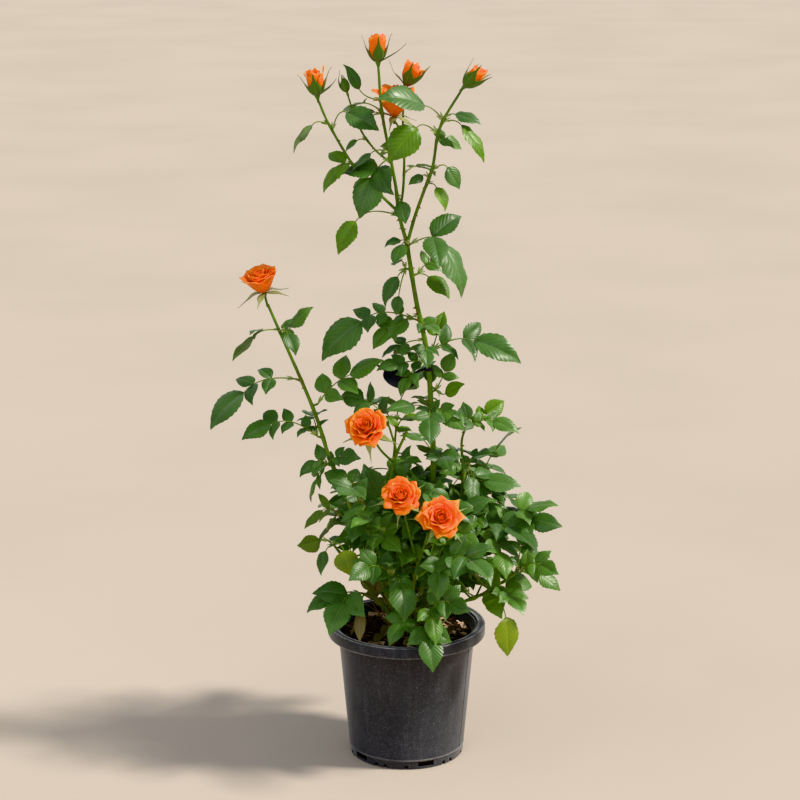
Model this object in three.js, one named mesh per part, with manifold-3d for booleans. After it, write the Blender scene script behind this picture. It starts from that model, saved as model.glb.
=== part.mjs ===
// A rose bush in a round nursery pot: canes that rise from a short stump, leafy shoots, buds and blooms.
// Millimetres, +Z up. The origin is the middle of the pot's flat underside, and the bush's front faces -Y.
import * as THREE from "three";
import { mergeVertices } from "three/addons/utils/BufferGeometryUtils.js";
import Module from "manifold-3d";

const wasm = await Module();
wasm.setup();

// Clearances
const GAP = 0.3; // between neighbouring pieces
const CLEARANCE = 0.36; // round a limb, whose flat sides lie a little inside its round section
const WELD = 1e-4; // vertices closer than this are one

// Pot
const POT_HEIGHT = 215;
const POT_RIM_RADIUS = 125;
const POT_BASE_RADIUS = 91;
const POT_TOP_RADIUS = 108.5; // of the body, just under the rim
const RIM_DEPTH = 17;
const RIM_SHELF = 12; // width of the flat top of the rim
const WALL = 2.8;
const FLOOR = 3;
const FOOT_HEIGHT = 15; // the band below the ridge, where the drain slots are
const RIDGE = 1.2;
const POT_SEGMENTS = 36;
const SLOT_COUNT = 5;
const SLOT_FIRST_DEG = -70; // the slot just right of the front
const SLOT_WIDTH = 26;
const SLOT_HEIGHT = 8;
const SLOT_SILL = 4;

// Soil and stump
const SOIL_TOP = 196;
const SOIL_CROWN = 5; // how much the soil rises towards the stump
const STUMP_RADIUS = 15;
const STUMP_HEIGHT = 26;
const STUMP_SEGMENTS = 12;

// Canes: hand-chosen routes from the stump, with the radius at the foot and at the tip
const CANES = {
  main_cane: {
    route: [[5, 2, 206], [29, 7, 260], [41, 6, 441], [40, 3, 535], [31, 0, 655], [14, 0, 740], [-1, 0, 833]],
    foot: 5.4,
    tip: 3.2,
  },
  left_cane: {
    route: [[-6, 0, 206], [-42, -3, 290], [-79, -8, 386], [-120, -8, 488], [-147, -6, 572], [-214, 0, 732]],
    foot: 4.2,
    tip: 2.1,
  },
  centre_cane: {
    route: [[-2, -5, 206], [-20, -18, 300], [-30, -24, 400], [-21, -22, 482], [0, -20, 535]],
    foot: 3.8,
    tip: 2,
  },
  right_cane: {
    route: [[7, -2, 206], [52, 4, 300], [84, 4, 410], [88, 0, 468], [86, 0, 514], [96, 2, 545]],
    foot: 3.8,
    tip: 1.7,
  },
  low_right_cane: {
    route: [[7, -5, 206], [60, -26, 246], [112, -40, 272], [158, -60, 307]],
    foot: 3.4,
    tip: 1.8,
  },
  front_cane: {
    route: [[2, -7, 206], [6, -46, 262], [16, -78, 330], [32, -92, 388]],
    foot: 3.6,
    tip: 1.9,
  },
  low_left_cane: {
    route: [[-7, -4, 206], [-48, -22, 262], [-86, -34, 318], [-112, -36, 352]],
    foot: 3.2,
    tip: 1.7,
  },
  back_cane: {
    route: [[0, 6, 206], [-14, 44, 290], [-24, 74, 390], [-20, 84, 470]],
    foot: 3.8,
    tip: 1.8,
  },
};
const CANE_SIDES = 6;
const CANE_STEP = 42; // length of one straight stretch of a cane

// Shoots that carry a bud or bloom and its upper leaves. A leaf's row gives the height where it leaves the
// shoot, the tip of its end leaflet, the count of leaflets and the end leaflet's length. It may also give the
// side leaflets' size as a share of that length, the droop of the end, and a turn about the leaf's own line.
const FLOWER_SHOOTS = {
  upper_middle_shoot: {
    on: "main_cane",
    route: [[-1, 0, 831], [-12, 0, 872], [-17, 0, 915], [-27, 0, 970], [-38, 0, 1030], [-43, 0, 1097]],
    foot: 2.9,
    tip: 1.9,
    bud: { radius: 16, height: 42, open: 0.2 },
    leaves: [
      { at: 1046, tip: [-95, 10, 1101], leaflets: 1, size: 46, droop: -0.5 },
      { at: 1028, tip: [-101, 45, 1023], leaflets: 3, size: 36 },
      { at: 1024, tip: [-71, -15, 1029], leaflets: 1, size: 26, droop: 0.1 },
      { at: 959, tip: [-71, -45, 873], leaflets: 3, size: 62, side: 0.9, droop: 0.5 },
      { at: 968, tip: [-86, -20, 938], leaflets: 1, size: 44 },
      { at: 870, tip: [-108, -15, 814], leaflets: 1, size: 58, droop: 0.9 },
      { at: 902, tip: [-1, -22, 861], leaflets: 1, size: 36 },
    ],
  },
  upper_right_shoot: {
    on: "main_cane",
    route: [[1, 0, 829], [12, 0, 868], [24, 0, 903], [39, 0, 945], [50, 0, 1005], [83, 0, 1063]],
    foot: 2.7,
    tip: 1.8,
    bud: { radius: 14, height: 42, open: 0.15, lean: [0.7, 0, 0.7] },
    leaves: [
      { at: 1015, tip: [-43, -50, 1061], leaflets: 1, size: 76, droop: 0.15 },
      { at: 995, tip: [-31, -35, 957], leaflets: 1, size: 88, droop: 0.5 },
      { at: 1019, tip: [113, -10, 1011], leaflets: 1, size: 50, droop: 0.2 },
      { at: 1013, tip: [120, -25, 955], leaflets: 1, size: 84, droop: 0.4 },
      { at: 984, tip: [84, 18, 968], leaflets: 3, size: 38, droop: 0.2 },
      { at: 928, tip: [3, -20, 920], leaflets: 1, size: 38, droop: 0.3 },
      { at: 920, tip: [58, -22, 879], leaflets: 1, size: 48, droop: 0.6 },
      { at: 940, tip: [80, 6, 909], leaflets: 1, size: 42, droop: 0.9 },
    ],
  },
  upper_left_shoot: {
    on: "upper_middle_shoot",
    route: [[-13, -2, 876], [-40, -4, 903], [-80, -3, 946], [-118, 0, 1010], [-134, 0, 1047]],
    foot: 2.3,
    tip: 1.7,
    bud: { radius: 15, height: 40, open: 0.25, lean: [-0.15, 0, 1] },
    leaves: [
      { at: 1009, tip: [-173, -15, 966], leaflets: 1, size: 54, turn: 70, droop: 0.5 },
      { at: 1000, tip: [-42, -34, 1006], leaflets: 1, size: 64, droop: 0.5 },
      { at: 949, tip: [-125, -15, 906], leaflets: 3, size: 50, droop: 0.6 },
      { at: 922, tip: [-83, 17, 910], leaflets: 1, size: 26 },
    ],
  },
  green_bud_shoot: {
    on: "upper_middle_shoot",
    route: [[-24, 2, 950], [-47, 6, 969], [-66, 8, 993], [-80, 8, 1024], [-90, 6, 1056]],
    foot: 1.7,
    tip: 1.3,
    bud: { radius: 8, height: 24, open: 0 },
    leaves: [{ at: 984, tip: [-94, 14, 966], leaflets: 1, size: 26 }],
  },
  upper_back_shoot: {
    on: "upper_middle_shoot",
    route: [[-12, 4, 872], [-6, 22, 905], [-4, 32, 950], [-6, 38, 1005], [-4, 42, 1058]],
    foot: 2.1,
    tip: 1.5,
    bud: { radius: 16, height: 36, open: 0.45, lean: [0.35, 0, 0.9] },
    bloom: { at: 980, base: [-18, 30, 1018], radius: 25, height: 32, lean: [-0.2, -0.1, 1], open: 0.8 },
    leaves: [
      { at: 965, tip: [-40, 72, 950], leaflets: 3, size: 34 },
      { at: 930, tip: [46, 78, 918], leaflets: 3, size: 40 },
    ],
  },
};

// Blooms on their own stalks
const BLOOMS = {
  left_bloom: {
    on: "left_cane",
    stalk: [[-214, 0, 728], [-218, 0, 745]],
    radius: 31,
    height: 44,
    lean: [-0.22, -0.1, 1],
    open: 0.7,
  },
  centre_bloom: {
    on: "centre_cane",
    stalk: [[-21, -23, 486], [-40, -46, 506], [-55, -58, 530]],
    radius: 31,
    height: 38,
    lean: [-0.3, -0.75, 0.75],
    open: 0.9,
  },
  front_left_bloom: {
    on: "front_cane",
    stalk: [[17, -79, 334], [2, -92, 400], [-8, -96, 440]],
    radius: 29,
    height: 34,
    lean: [-0.1, -0.75, 0.75],
    open: 0.9,
  },
  front_right_bloom: {
    on: "front_cane",
    stalk: [[32, -92, 386], [44, -100, 402], [50, -104, 412]],
    radius: 33,
    height: 36,
    lean: [0.12, -0.85, 0.6],
    open: 1,
  },
};

// Masses of leaves that leave a cane at one height, by a short spur that points to heading, in degrees from
// +X.
const LEAF_MASSES = {
  fork_leaves: {
    on: "main_cane",
    at: 824,
    heading: -60,
    leaves: [
      { tip: [91, -42, 752], leaflets: 3, size: 96, side: 0.72, droop: 0.9 },
      { tip: [-35, -16, 824], leaflets: 1, size: 28, droop: 0.3 },
    ],
  },
  high_right_leaves: {
    on: "main_cane",
    at: 777,
    heading: 0,
    leaves: [
      { tip: [65, -24, 745], leaflets: 1, size: 54, droop: 0.2 },
      { tip: [68, 24, 804], leaflets: 3, size: 36, droop: 0.2 },
    ],
  },
  high_left_leaves: {
    on: "main_cane",
    at: 786,
    heading: 200,
    leaves: [
      { tip: [-35, -18, 732], leaflets: 1, size: 54, droop: 0.2 },
      { tip: [-24, 28, 790], leaflets: 1, size: 28 },
      { tip: [-16, -34, 722], leaflets: 1, size: 30, droop: 0.6 },
    ],
  },
  middle_left_leaves: {
    on: "main_cane",
    at: 706,
    heading: 190,
    leaves: [
      { tip: [-132, -38, 650], leaflets: 7, size: 88, side: 0.5, droop: 0.5 },
      { tip: [-52, -30, 668], leaflets: 3, size: 40, droop: 0.5 },
    ],
  },
  middle_right_leaves: {
    on: "main_cane",
    at: 657,
    heading: -15,
    leaves: [
      { tip: [180, -22, 646], leaflets: 5, size: 88, side: 0.62, droop: 0.3 },
      { tip: [58, 28, 716], leaflets: 3, size: 32, droop: 0 },
    ],
  },
  label_leaves: {
    on: "main_cane",
    at: 640,
    heading: 210,
    leaves: [
      { tip: [-48, -26, 634], leaflets: 5, size: 38, droop: 0.1 },
      { tip: [-10, -34, 594], leaflets: 3, size: 32, droop: 0.4 },
      { tip: [-20, 70, 640], leaflets: 5, size: 42 },
    ],
  },
  middle_low_leaves: {
    on: "main_cane",
    at: 592,
    heading: 20,
    leaves: [
      { tip: [88, -14, 611], leaflets: 1, size: 56, droop: -0.3 },
      { tip: [30, 26, 640], leaflets: 1, size: 52, droop: -0.5 },
      { tip: [72, 12, 655], leaflets: 3, size: 34, droop: -0.1 },
    ],
  },
  whorl_leaves: {
    on: "main_cane",
    at: 560,
    heading: -110,
    leaves: [
      { tip: [-30, -50, 574], leaflets: 1, size: 50, droop: 0.2 },
      { tip: [34, -86, 532], leaflets: 5, size: 50, droop: 0.4 },
      { tip: [90, -52, 545], leaflets: 5, size: 50, droop: 0.3 },
      { tip: [20, 66, 560], leaflets: 5, size: 46 },
    ],
  },
  main_low_leaves: {
    on: "main_cane",
    at: 470,
    heading: 60,
    leaves: [
      { tip: [120, 66, 470], leaflets: 5, size: 50 },
      { tip: [-6, 96, 500], leaflets: 5, size: 50 },
      { tip: [70, -70, 486], leaflets: 5, size: 48 },
    ],
  },
  left_top_leaves: {
    on: "left_cane",
    at: 690,
    heading: -75,
    leaves: [
      { tip: [-146, -14, 734], leaflets: 3, size: 54, side: 0.7, droop: -0.2 },
      { tip: [-170, -40, 660], leaflets: 1, size: 44, droop: 0.5 },
      { tip: [-270, -18, 648], leaflets: 3, size: 52, side: 0.6, turn: 60, droop: 0.4 },
    ],
  },
  left_high_leaves: {
    on: "left_cane",
    at: 612,
    heading: 185,
    leaves: [{ tip: [-302, -36, 538], leaflets: 5, size: 80, side: 0.5, droop: 0.5 }],
  },
  left_inner_leaves: {
    on: "left_cane",
    at: 572,
    heading: 10,
    leaves: [{ tip: [-34, -20, 648], leaflets: 5, size: 60, side: 0.75, droop: 0.2 }],
  },
  left_middle_leaves: {
    on: "left_cane",
    at: 521,
    heading: 190,
    leaves: [
      { tip: [-256, -32, 524], leaflets: 7, size: 52, side: 0.8, droop: 0.5 },
      { tip: [-160, 62, 545], leaflets: 5, size: 42 },
    ],
  },
  left_low_leaves: {
    on: "left_cane",
    at: 476,
    heading: 200,
    leaves: [
      { tip: [-168, -28, 464], leaflets: 3, size: 46 },
      { tip: [-152, 10, 410], leaflets: 3, size: 44, droop: 0.5 },
      { tip: [-70, -50, 500], leaflets: 5, size: 42, droop: 0.2 },
    ],
  },
  right_top_leaves: {
    on: "right_cane",
    at: 536,
    heading: -20,
    leaves: [
      { tip: [176, -22, 533], leaflets: 5, size: 46, side: 0.75, droop: 0.3 },
      { tip: [156, 30, 570], leaflets: 5, size: 42, droop: 0.1 },
      { tip: [70, -46, 566], leaflets: 3, size: 38, droop: 0.2 },
    ],
  },
  right_middle_leaves: {
    on: "right_cane",
    at: 474,
    heading: -40,
    leaves: [
      { tip: [134, -36, 505], leaflets: 5, size: 36, droop: 0.2 },
      { tip: [50, -44, 474], leaflets: 5, size: 36, droop: 0.2 },
      { tip: [180, -14, 444], leaflets: 3, size: 62, side: 0.8, droop: 0.2 },
    ],
  },
};

// Leafy twigs that fill the low crown. Each leaves its cane at a height and ends at tip. It has the leaves
// that stand out on the real bush, and most have some more that a seeded rule sets round them.
const LEAFY_TWIGS = {
  right_outer_twig: {
    on: "right_cane",
    at: 330,
    tip: [150, -34, 372],
    ruled: { leaves: 3, size: 52, seed: 11 },
    leaves: [
      { tip: [241, -62, 392], leaflets: 5, size: 52 },
      { tip: [202, -112, 372], leaflets: 5, size: 72, side: 0.8 },
    ],
  },
  right_end_twig: {
    on: "low_right_cane",
    at: 302,
    tip: [178, -68, 322],
    ruled: { leaves: 2, size: 46, seed: 13 },
    leaves: [{ tip: [240, -76, 294], leaflets: 7, size: 50 }],
  },
  right_hanging_twig: {
    on: "low_right_cane",
    at: 268,
    tip: [140, -62, 282],
    ruled: { leaves: 2, size: 48, seed: 13 },
    leaves: [
      { tip: [160, -82, 187], leaflets: 1, size: 64, droop: 1.6 },
      { tip: [146, -122, 264], leaflets: 3, size: 80 },
    ],
  },
  right_back_twig: {
    on: "right_cane",
    at: 380,
    tip: [130, 74, 420],
    ruled: { leaves: 4, size: 50, seed: 14 },
    leaves: [],
  },
  front_high_twig: {
    on: "front_cane",
    at: 318,
    tip: [60, -112, 352],
    ruled: { leaves: 2, size: 54, seed: 21 },
    leaves: [{ tip: [46, -146, 302], leaflets: 3, size: 54 }],
  },
  front_left_twig: {
    on: "front_cane",
    at: 290,
    tip: [-26, -104, 330],
    ruled: { leaves: 2, size: 54, seed: 419 },
    leaves: [
      { tip: [-28, -142, 355], leaflets: 3, size: 54 },
      { tip: [-2, -146, 266], leaflets: 5, size: 78, side: 0.7 },
    ],
  },
  front_low_twig: {
    on: "front_cane",
    at: 250,
    tip: [34, -92, 262],
    ruled: { leaves: 1, size: 40, seed: 24 },
    leaves: [
      { tip: [47, -136, 226], leaflets: 3, size: 62, side: 0.7, droop: 0.8 },
      { tip: [39, -150, 187], leaflets: 3, size: 54, droop: 0.5 },
      { tip: [-28, -116, 216], leaflets: 3, size: 42 },
    ],
  },
  centre_high_twig: {
    on: "centre_cane",
    at: 500,
    tip: [-30, -44, 556],
    ruled: { leaves: 3, size: 46, seed: 31 },
    leaves: [],
  },
  centre_left_twig: {
    on: "centre_cane",
    at: 400,
    tip: [-74, -62, 432],
    ruled: { leaves: 4, size: 50, seed: 552 },
    leaves: [],
  },
  centre_front_twig: {
    on: "centre_cane",
    at: 350,
    tip: [-34, -84, 392],
    ruled: { leaves: 3, size: 50, seed: 130 },
    leaves: [],
  },
  left_side_twig: {
    on: "left_cane",
    at: 360,
    tip: [-118, -2, 404],
    leaves: [
      { tip: [-162, -12, 374], leaflets: 3, size: 42 },
      { tip: [-126, 30, 352], leaflets: 3, size: 36 },
    ],
  },
  left_end_twig: {
    on: "low_left_cane",
    at: 344,
    tip: [-124, -44, 366],
    leaves: [
      { tip: [-172, -42, 356], leaflets: 1, size: 44, droop: 0.1 },
      { tip: [-85, -84, 320], leaflets: 1, size: 40, droop: 0.8 },
      { tip: [-137, -60, 313], leaflets: 1, size: 40, droop: 0.6 },
    ],
  },
  left_rim_twig: {
    on: "low_left_cane",
    at: 262,
    tip: [-84, -60, 284],
    leaves: [
      { tip: [-118, -124, 236], leaflets: 3, size: 60, side: 0.95, droop: 0.4 },
      { tip: [-158, -84, 264], leaflets: 1, size: 48, droop: 0.2 },
      { tip: [-74, -112, 222], leaflets: 1, size: 46, droop: 1.2 },
    ],
  },
  left_back_twig: {
    on: "left_cane",
    at: 330,
    tip: [-98, 72, 372],
    ruled: { leaves: 4, size: 46, seed: 160 },
    leaves: [],
  },
  back_high_twig: {
    on: "back_cane",
    at: 466,
    tip: [-16, 92, 520],
    ruled: { leaves: 3, size: 48, seed: 51 },
    leaves: [],
  },
  back_right_twig: {
    on: "back_cane",
    at: 350,
    tip: [66, 116, 380],
    ruled: { leaves: 4, size: 52, seed: 52 },
    leaves: [],
  },
  back_left_twig: {
    on: "back_cane",
    at: 310,
    tip: [-76, 118, 320],
    ruled: { leaves: 4, size: 52, seed: 53 },
    leaves: [],
  },
  back_low_twig: {
    on: "back_cane",
    at: 262,
    tip: [20, 112, 272],
    ruled: { leaves: 3, size: 50, seed: 54 },
    leaves: [],
  },
};

// Leaf proportions
const LEAFLET_WIDTH = 0.64; // of its length
const LEAFLET_ROOT = 1.8; // half the width of its root
const LEAFLET_WIDEST = 0.42; // where along it the blade is widest
const LEAFLET_FOLD = 0.2; // how much the sides rise over the midrib, as a share of the half width
const LEAFLET_CURL = 0.08; // how far the tip bends down, as a share of the length
const LARGE_LEAFLET = 44; // a leaflet at least this long has two corners a side
const LARGE_WIDEST = [0.34, 0.7]; // where those two are along the blade
const LARGE_SECOND_WIDTH = 0.72; // of the second corner, as a share of the first one's
const STALK_RADIUS = 1.3;
const STALK_TAPER = 0.25;
const STALK_FLATNESS = 0.8;
const STALK_ARCH = 0.45; // how much of its length a stalk runs in line with its end leaflet
const LONGEST_END_LEAFLET = 0.75; // as a share of the whole leaf
const PAIR_FIRST = 0.3; // from the end leaflet back to the first pair, as a share of the end leaflet's length
const PAIR_SPACING = 0.76; // from a pair to the next, as a share of the side leaflets' length
const PAIRS_REACH = 0.8; // the most of its stalk that the pairs of leaflets take up
const SMALLEST_SQUEEZE = 0.6;
const SIDE_ANGLE = THREE.MathUtils.degToRad(60);
const SIDE_DROOP = 0.1;
const SIDE_SHRINK = 0.16; // each pair of leaflets is this much shorter than the pair beyond it

// Spurs and twigs, and the rule that sets leaves round a twig
const SPUR_LENGTH = 9;
const SPUR_RISE = 0.35;
const SPUR_RADIUS = 1.9;
const TWIG_RADIUS = 2;
const TWIG_ARCH = 0.12;
const TWIG_LEAF_FIRST = 0.9; // where the twig's own leaves start, counted from its foot
const TWIG_LEAF_STEP = 0.2;
const RULED_LEAFLETS = 3;
const RULED_FIRST = 0.35;
const GOLDEN_ANGLE = THREE.MathUtils.degToRad(137.5);

// Flower proportions
const SEPAL_COUNT = 5;
const SEPAL_LENGTH = 26;
const SEPAL_RADIUS = 1.5;
const OPEN_ENOUGH = 0.4; // a flower that is less open has its sepals on its sides
const HIP_RADIUS = 4.6;
const HIP_HEIGHT = 9;
const BLOOM_SIDES = 9;
const BLOOM_STALK_RADIUS = 1.9;
const SIDE_STALK_RADIUS = 1.6;

// Label on the main cane
const LABEL_HEIGHT = 630;
const LABEL_PLATE = { radius: 26, squash: 0.62, thick: 1.4, middle: [-12, 14, 612], swing: 0.35, nod: -0.5 };
const LABEL_TAIL = [[-30, 14, 622], [-58, 12, 638], [-84, 8, 628]];
const LABEL_STRAP_RADIUS = 2.4;
const LABEL_RING = { inner: 4.9, thick: 1.6, height: 6 };

const UP = new THREE.Vector3(0, 0, 1);
const FRONT = new THREE.Vector3(0, -1, 0);
const vec = ([x, y, z]) => new THREE.Vector3(x, y, z);

// A repeatable source of numbers from 0 to 1.
function seeded(seed) {
  let state = seed >>> 0;
  return () => {
    state = (state + 0x6d2b79f5) >>> 0;
    let t = state;
    t = Math.imul(t ^ (t >>> 15), t | 1);
    t ^= t + Math.imul(t ^ (t >>> 7), t | 61);
    return ((t ^ (t >>> 14)) >>> 0) / 4294967296;
  };
}

// A closed mesh as a solid, turned right side out, with the faces that collapse at a pole dropped.
function solidFrom(geometry) {
  const bare = new THREE.BufferGeometry().setAttribute("position", geometry.getAttribute("position"));
  if (geometry.index) bare.setIndex(geometry.index);
  const merged = mergeVertices(bare, WELD);
  const points = merged.getAttribute("position");
  const index = merged.index.array;
  const faces = [];
  let volume = 0;
  const [a, b, c] = [new THREE.Vector3(), new THREE.Vector3(), new THREE.Vector3()];
  for (let i = 0; i < index.length; i += 3) {
    const [p, q, r] = index.slice(i, i + 3);
    if (p === q || q === r || r === p) continue;
    faces.push(p, q, r);
    b.fromBufferAttribute(points, q).cross(c.fromBufferAttribute(points, r));
    volume += a.fromBufferAttribute(points, p).dot(b);
  }
  if (volume < 0) faces.reverse();
  const mesh = new wasm.Mesh({
    numProp: 3,
    vertProperties: new Float32Array(points.array),
    triVerts: new Uint32Array(faces),
  });
  return new wasm.Manifold(mesh);
}

const fuse = (solids) => solids.reduce((all, solid) => all.add(solid));

// The largest closed body of a solid, which leaves out loose scraps and fills sealed hollows.
const wholeBody = (solid) => solid.decompose().sort((a, b) => b.volume() - a.volume())[0];

// A smooth route through a few points.
const routeThrough = (points) => new THREE.CatmullRomCurve3(points.map(vec), false, "catmullrom", 0.5);

// A tapering limb of a few sides along a curve. grow thickens it and runs it on at both ends.
function limb(curve, foot, tip, sides, steps, grow = 0) {
  const section = new THREE.Shape();
  for (let i = 0; i < sides; i++) {
    const angle = (i / sides) * Math.PI * 2;
    const corner = [Math.cos(angle) * foot, Math.sin(angle) * foot];
    if (i) section.lineTo(...corner);
    else section.moveTo(...corner);
  }
  const options = { steps, extrudePath: curve, bevelEnabled: false, curveSegments: 1 };
  const geometry = new THREE.ExtrudeGeometry(section, options);
  const middles = curve.getSpacedPoints(steps);
  const position = geometry.getAttribute("position");
  const point = new THREE.Vector3();
  for (let i = 0; i < position.count; i++) {
    point.fromBufferAttribute(position, i);
    let nearest = 0;
    middles.forEach((middle, j) => {
      if (middle.distanceTo(point) < middles[nearest].distanceTo(point)) nearest = j;
    });
    const radius = THREE.MathUtils.lerp(foot, tip, nearest / steps) + grow;
    point.sub(middles[nearest]).multiplyScalar(radius / foot).add(middles[nearest]);
    if (nearest === 0) point.addScaledVector(curve.getTangentAt(0), -grow);
    if (nearest === steps) point.addScaledVector(curve.getTangentAt(1), grow);
    position.setXYZ(i, point.x, point.y, point.z);
  }
  return solidFrom(geometry);
}

// Where along a rising curve a height is reached.
function shareAtHeight(curve, height) {
  let low = 0;
  let high = 1;
  for (let i = 0; i < 30; i++) {
    const middle = (low + high) / 2;
    if (curve.getPoint(middle).z < height) low = middle;
    else high = middle;
  }
  return low;
}

// The directions of something that points along heading with its upper side turned to face.
function frameOf(heading, face) {
  const along = heading.clone().normalize();
  const up = face.clone().addScaledVector(along, -face.dot(along)).normalize();
  return { along, up, side: new THREE.Vector3().crossVectors(up, along) };
}

// The room that a leaflet takes, with a clearance round it.
function leafletRoom({ root, heading, face, length }, grow) {
  const { along, up, side } = frameOf(heading, face);
  const full = length + 2 * grow;
  const half = (full * LEAFLET_WIDTH) / 2 + grow;
  const thick = STALK_RADIUS + grow;
  const at = (u, v, w) => {
    const point = root.clone().addScaledVector(along, u);
    return point.addScaledVector(side, v).addScaledVector(up, w);
  };
  const widest = full * LEAFLET_WIDEST;
  const points = [
    at(0, 0, 0),
    at(widest, half, half * LEAFLET_FOLD),
    at(widest, -half, half * LEAFLET_FOLD),
    at(full, 0, -full * LEAFLET_CURL),
    at(widest, 0, thick),
    at(widest, 0, -thick),
  ];
  const faces = [[4, 3, 1], [4, 1, 0], [4, 0, 2], [4, 2, 3], [5, 1, 3], [5, 0, 1], [5, 2, 0], [5, 3, 2]];
  const geometry = new THREE.BufferGeometry().setFromPoints(points).setIndex(faces.flat());
  return solidFrom(geometry);
}

// A three-sided spike, as of a sepal.
function spike(root, heading, length, radius) {
  const cone = new THREE.ConeGeometry(radius, length, 3, 1).translate(0, length / 2, 0);
  const coneAxis = new THREE.Vector3(0, 1, 0);
  const turned = new THREE.Quaternion().setFromUnitVectors(coneAxis, heading.clone().normalize());
  return solidFrom(cone.applyQuaternion(turned).translate(root.x, root.y, root.z));
}

// The way a leaf's upper side faces: up, outwards, and a little to the front on the front half of the bush.
function leafFace(tip) {
  const outward = new THREE.Vector3(tip.x, tip.y, 0).normalize();
  const face = UP.clone().multiplyScalar(0.8).addScaledVector(outward, 0.3);
  if (tip.y < 45) face.addScaledVector(FRONT, 0.55);
  return face.normalize();
}

// A compound leaf from root to the tip of its end leaflet: its arching stalk, and its leaflets, the end one
// first. sign is 1 for a leaflet on the left of the stalk, -1 on its right and 0 at its end.
function compoundLeaf(root, row) {
  const { leaflets, side = 0.8, droop = 0.35, turn = 0 } = row;
  const tip = Array.isArray(row.tip) ? vec(row.tip) : row.tip;
  const chord = tip.clone().sub(root);
  const reach = chord.length();
  const size = Math.min(row.size, reach * LONGEST_END_LEAFLET);
  const heading = chord.clone().divideScalar(reach).addScaledVector(UP, -droop).normalize();
  const end = tip.clone().addScaledVector(heading, -size);
  const bend = end.clone().addScaledVector(heading, -STALK_ARCH * end.distanceTo(root));
  const curve = new THREE.QuadraticBezierCurve3(root, bend, end);
  const face = leafFace(tip).applyAxisAngle(heading, THREE.MathUtils.degToRad(turn));
  const blades = [{ share: 1, root: end, heading, face, length: size, sign: 0 }];
  const pairs = (leaflets - 1) / 2;
  const stalk = curve.getLength();
  const wanted = size * (PAIR_FIRST + PAIR_SPACING * side * (pairs - 1));
  const squeeze = Math.min(1, (stalk * PAIRS_REACH) / Math.max(wanted, 1));
  for (let pair = 0; pair < pairs; pair++) {
    const share = 1 - (size * squeeze * (PAIR_FIRST + PAIR_SPACING * side * pair)) / stalk;
    const { along, side: across } = frameOf(curve.getTangent(share), face);
    const length = size * side * Math.max(squeeze, SMALLEST_SQUEEZE) * (1 - SIDE_SHRINK * pair);
    for (const sign of [1, -1]) {
      const way = along.clone().multiplyScalar(Math.cos(SIDE_ANGLE));
      way.addScaledVector(across, sign * Math.sin(SIDE_ANGLE)).addScaledVector(UP, -SIDE_DROOP).normalize();
      blades.push({ share, root: curve.getPoint(share), heading: way, face, length, sign });
    }
  }
  return { curve, blades };
}

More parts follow.
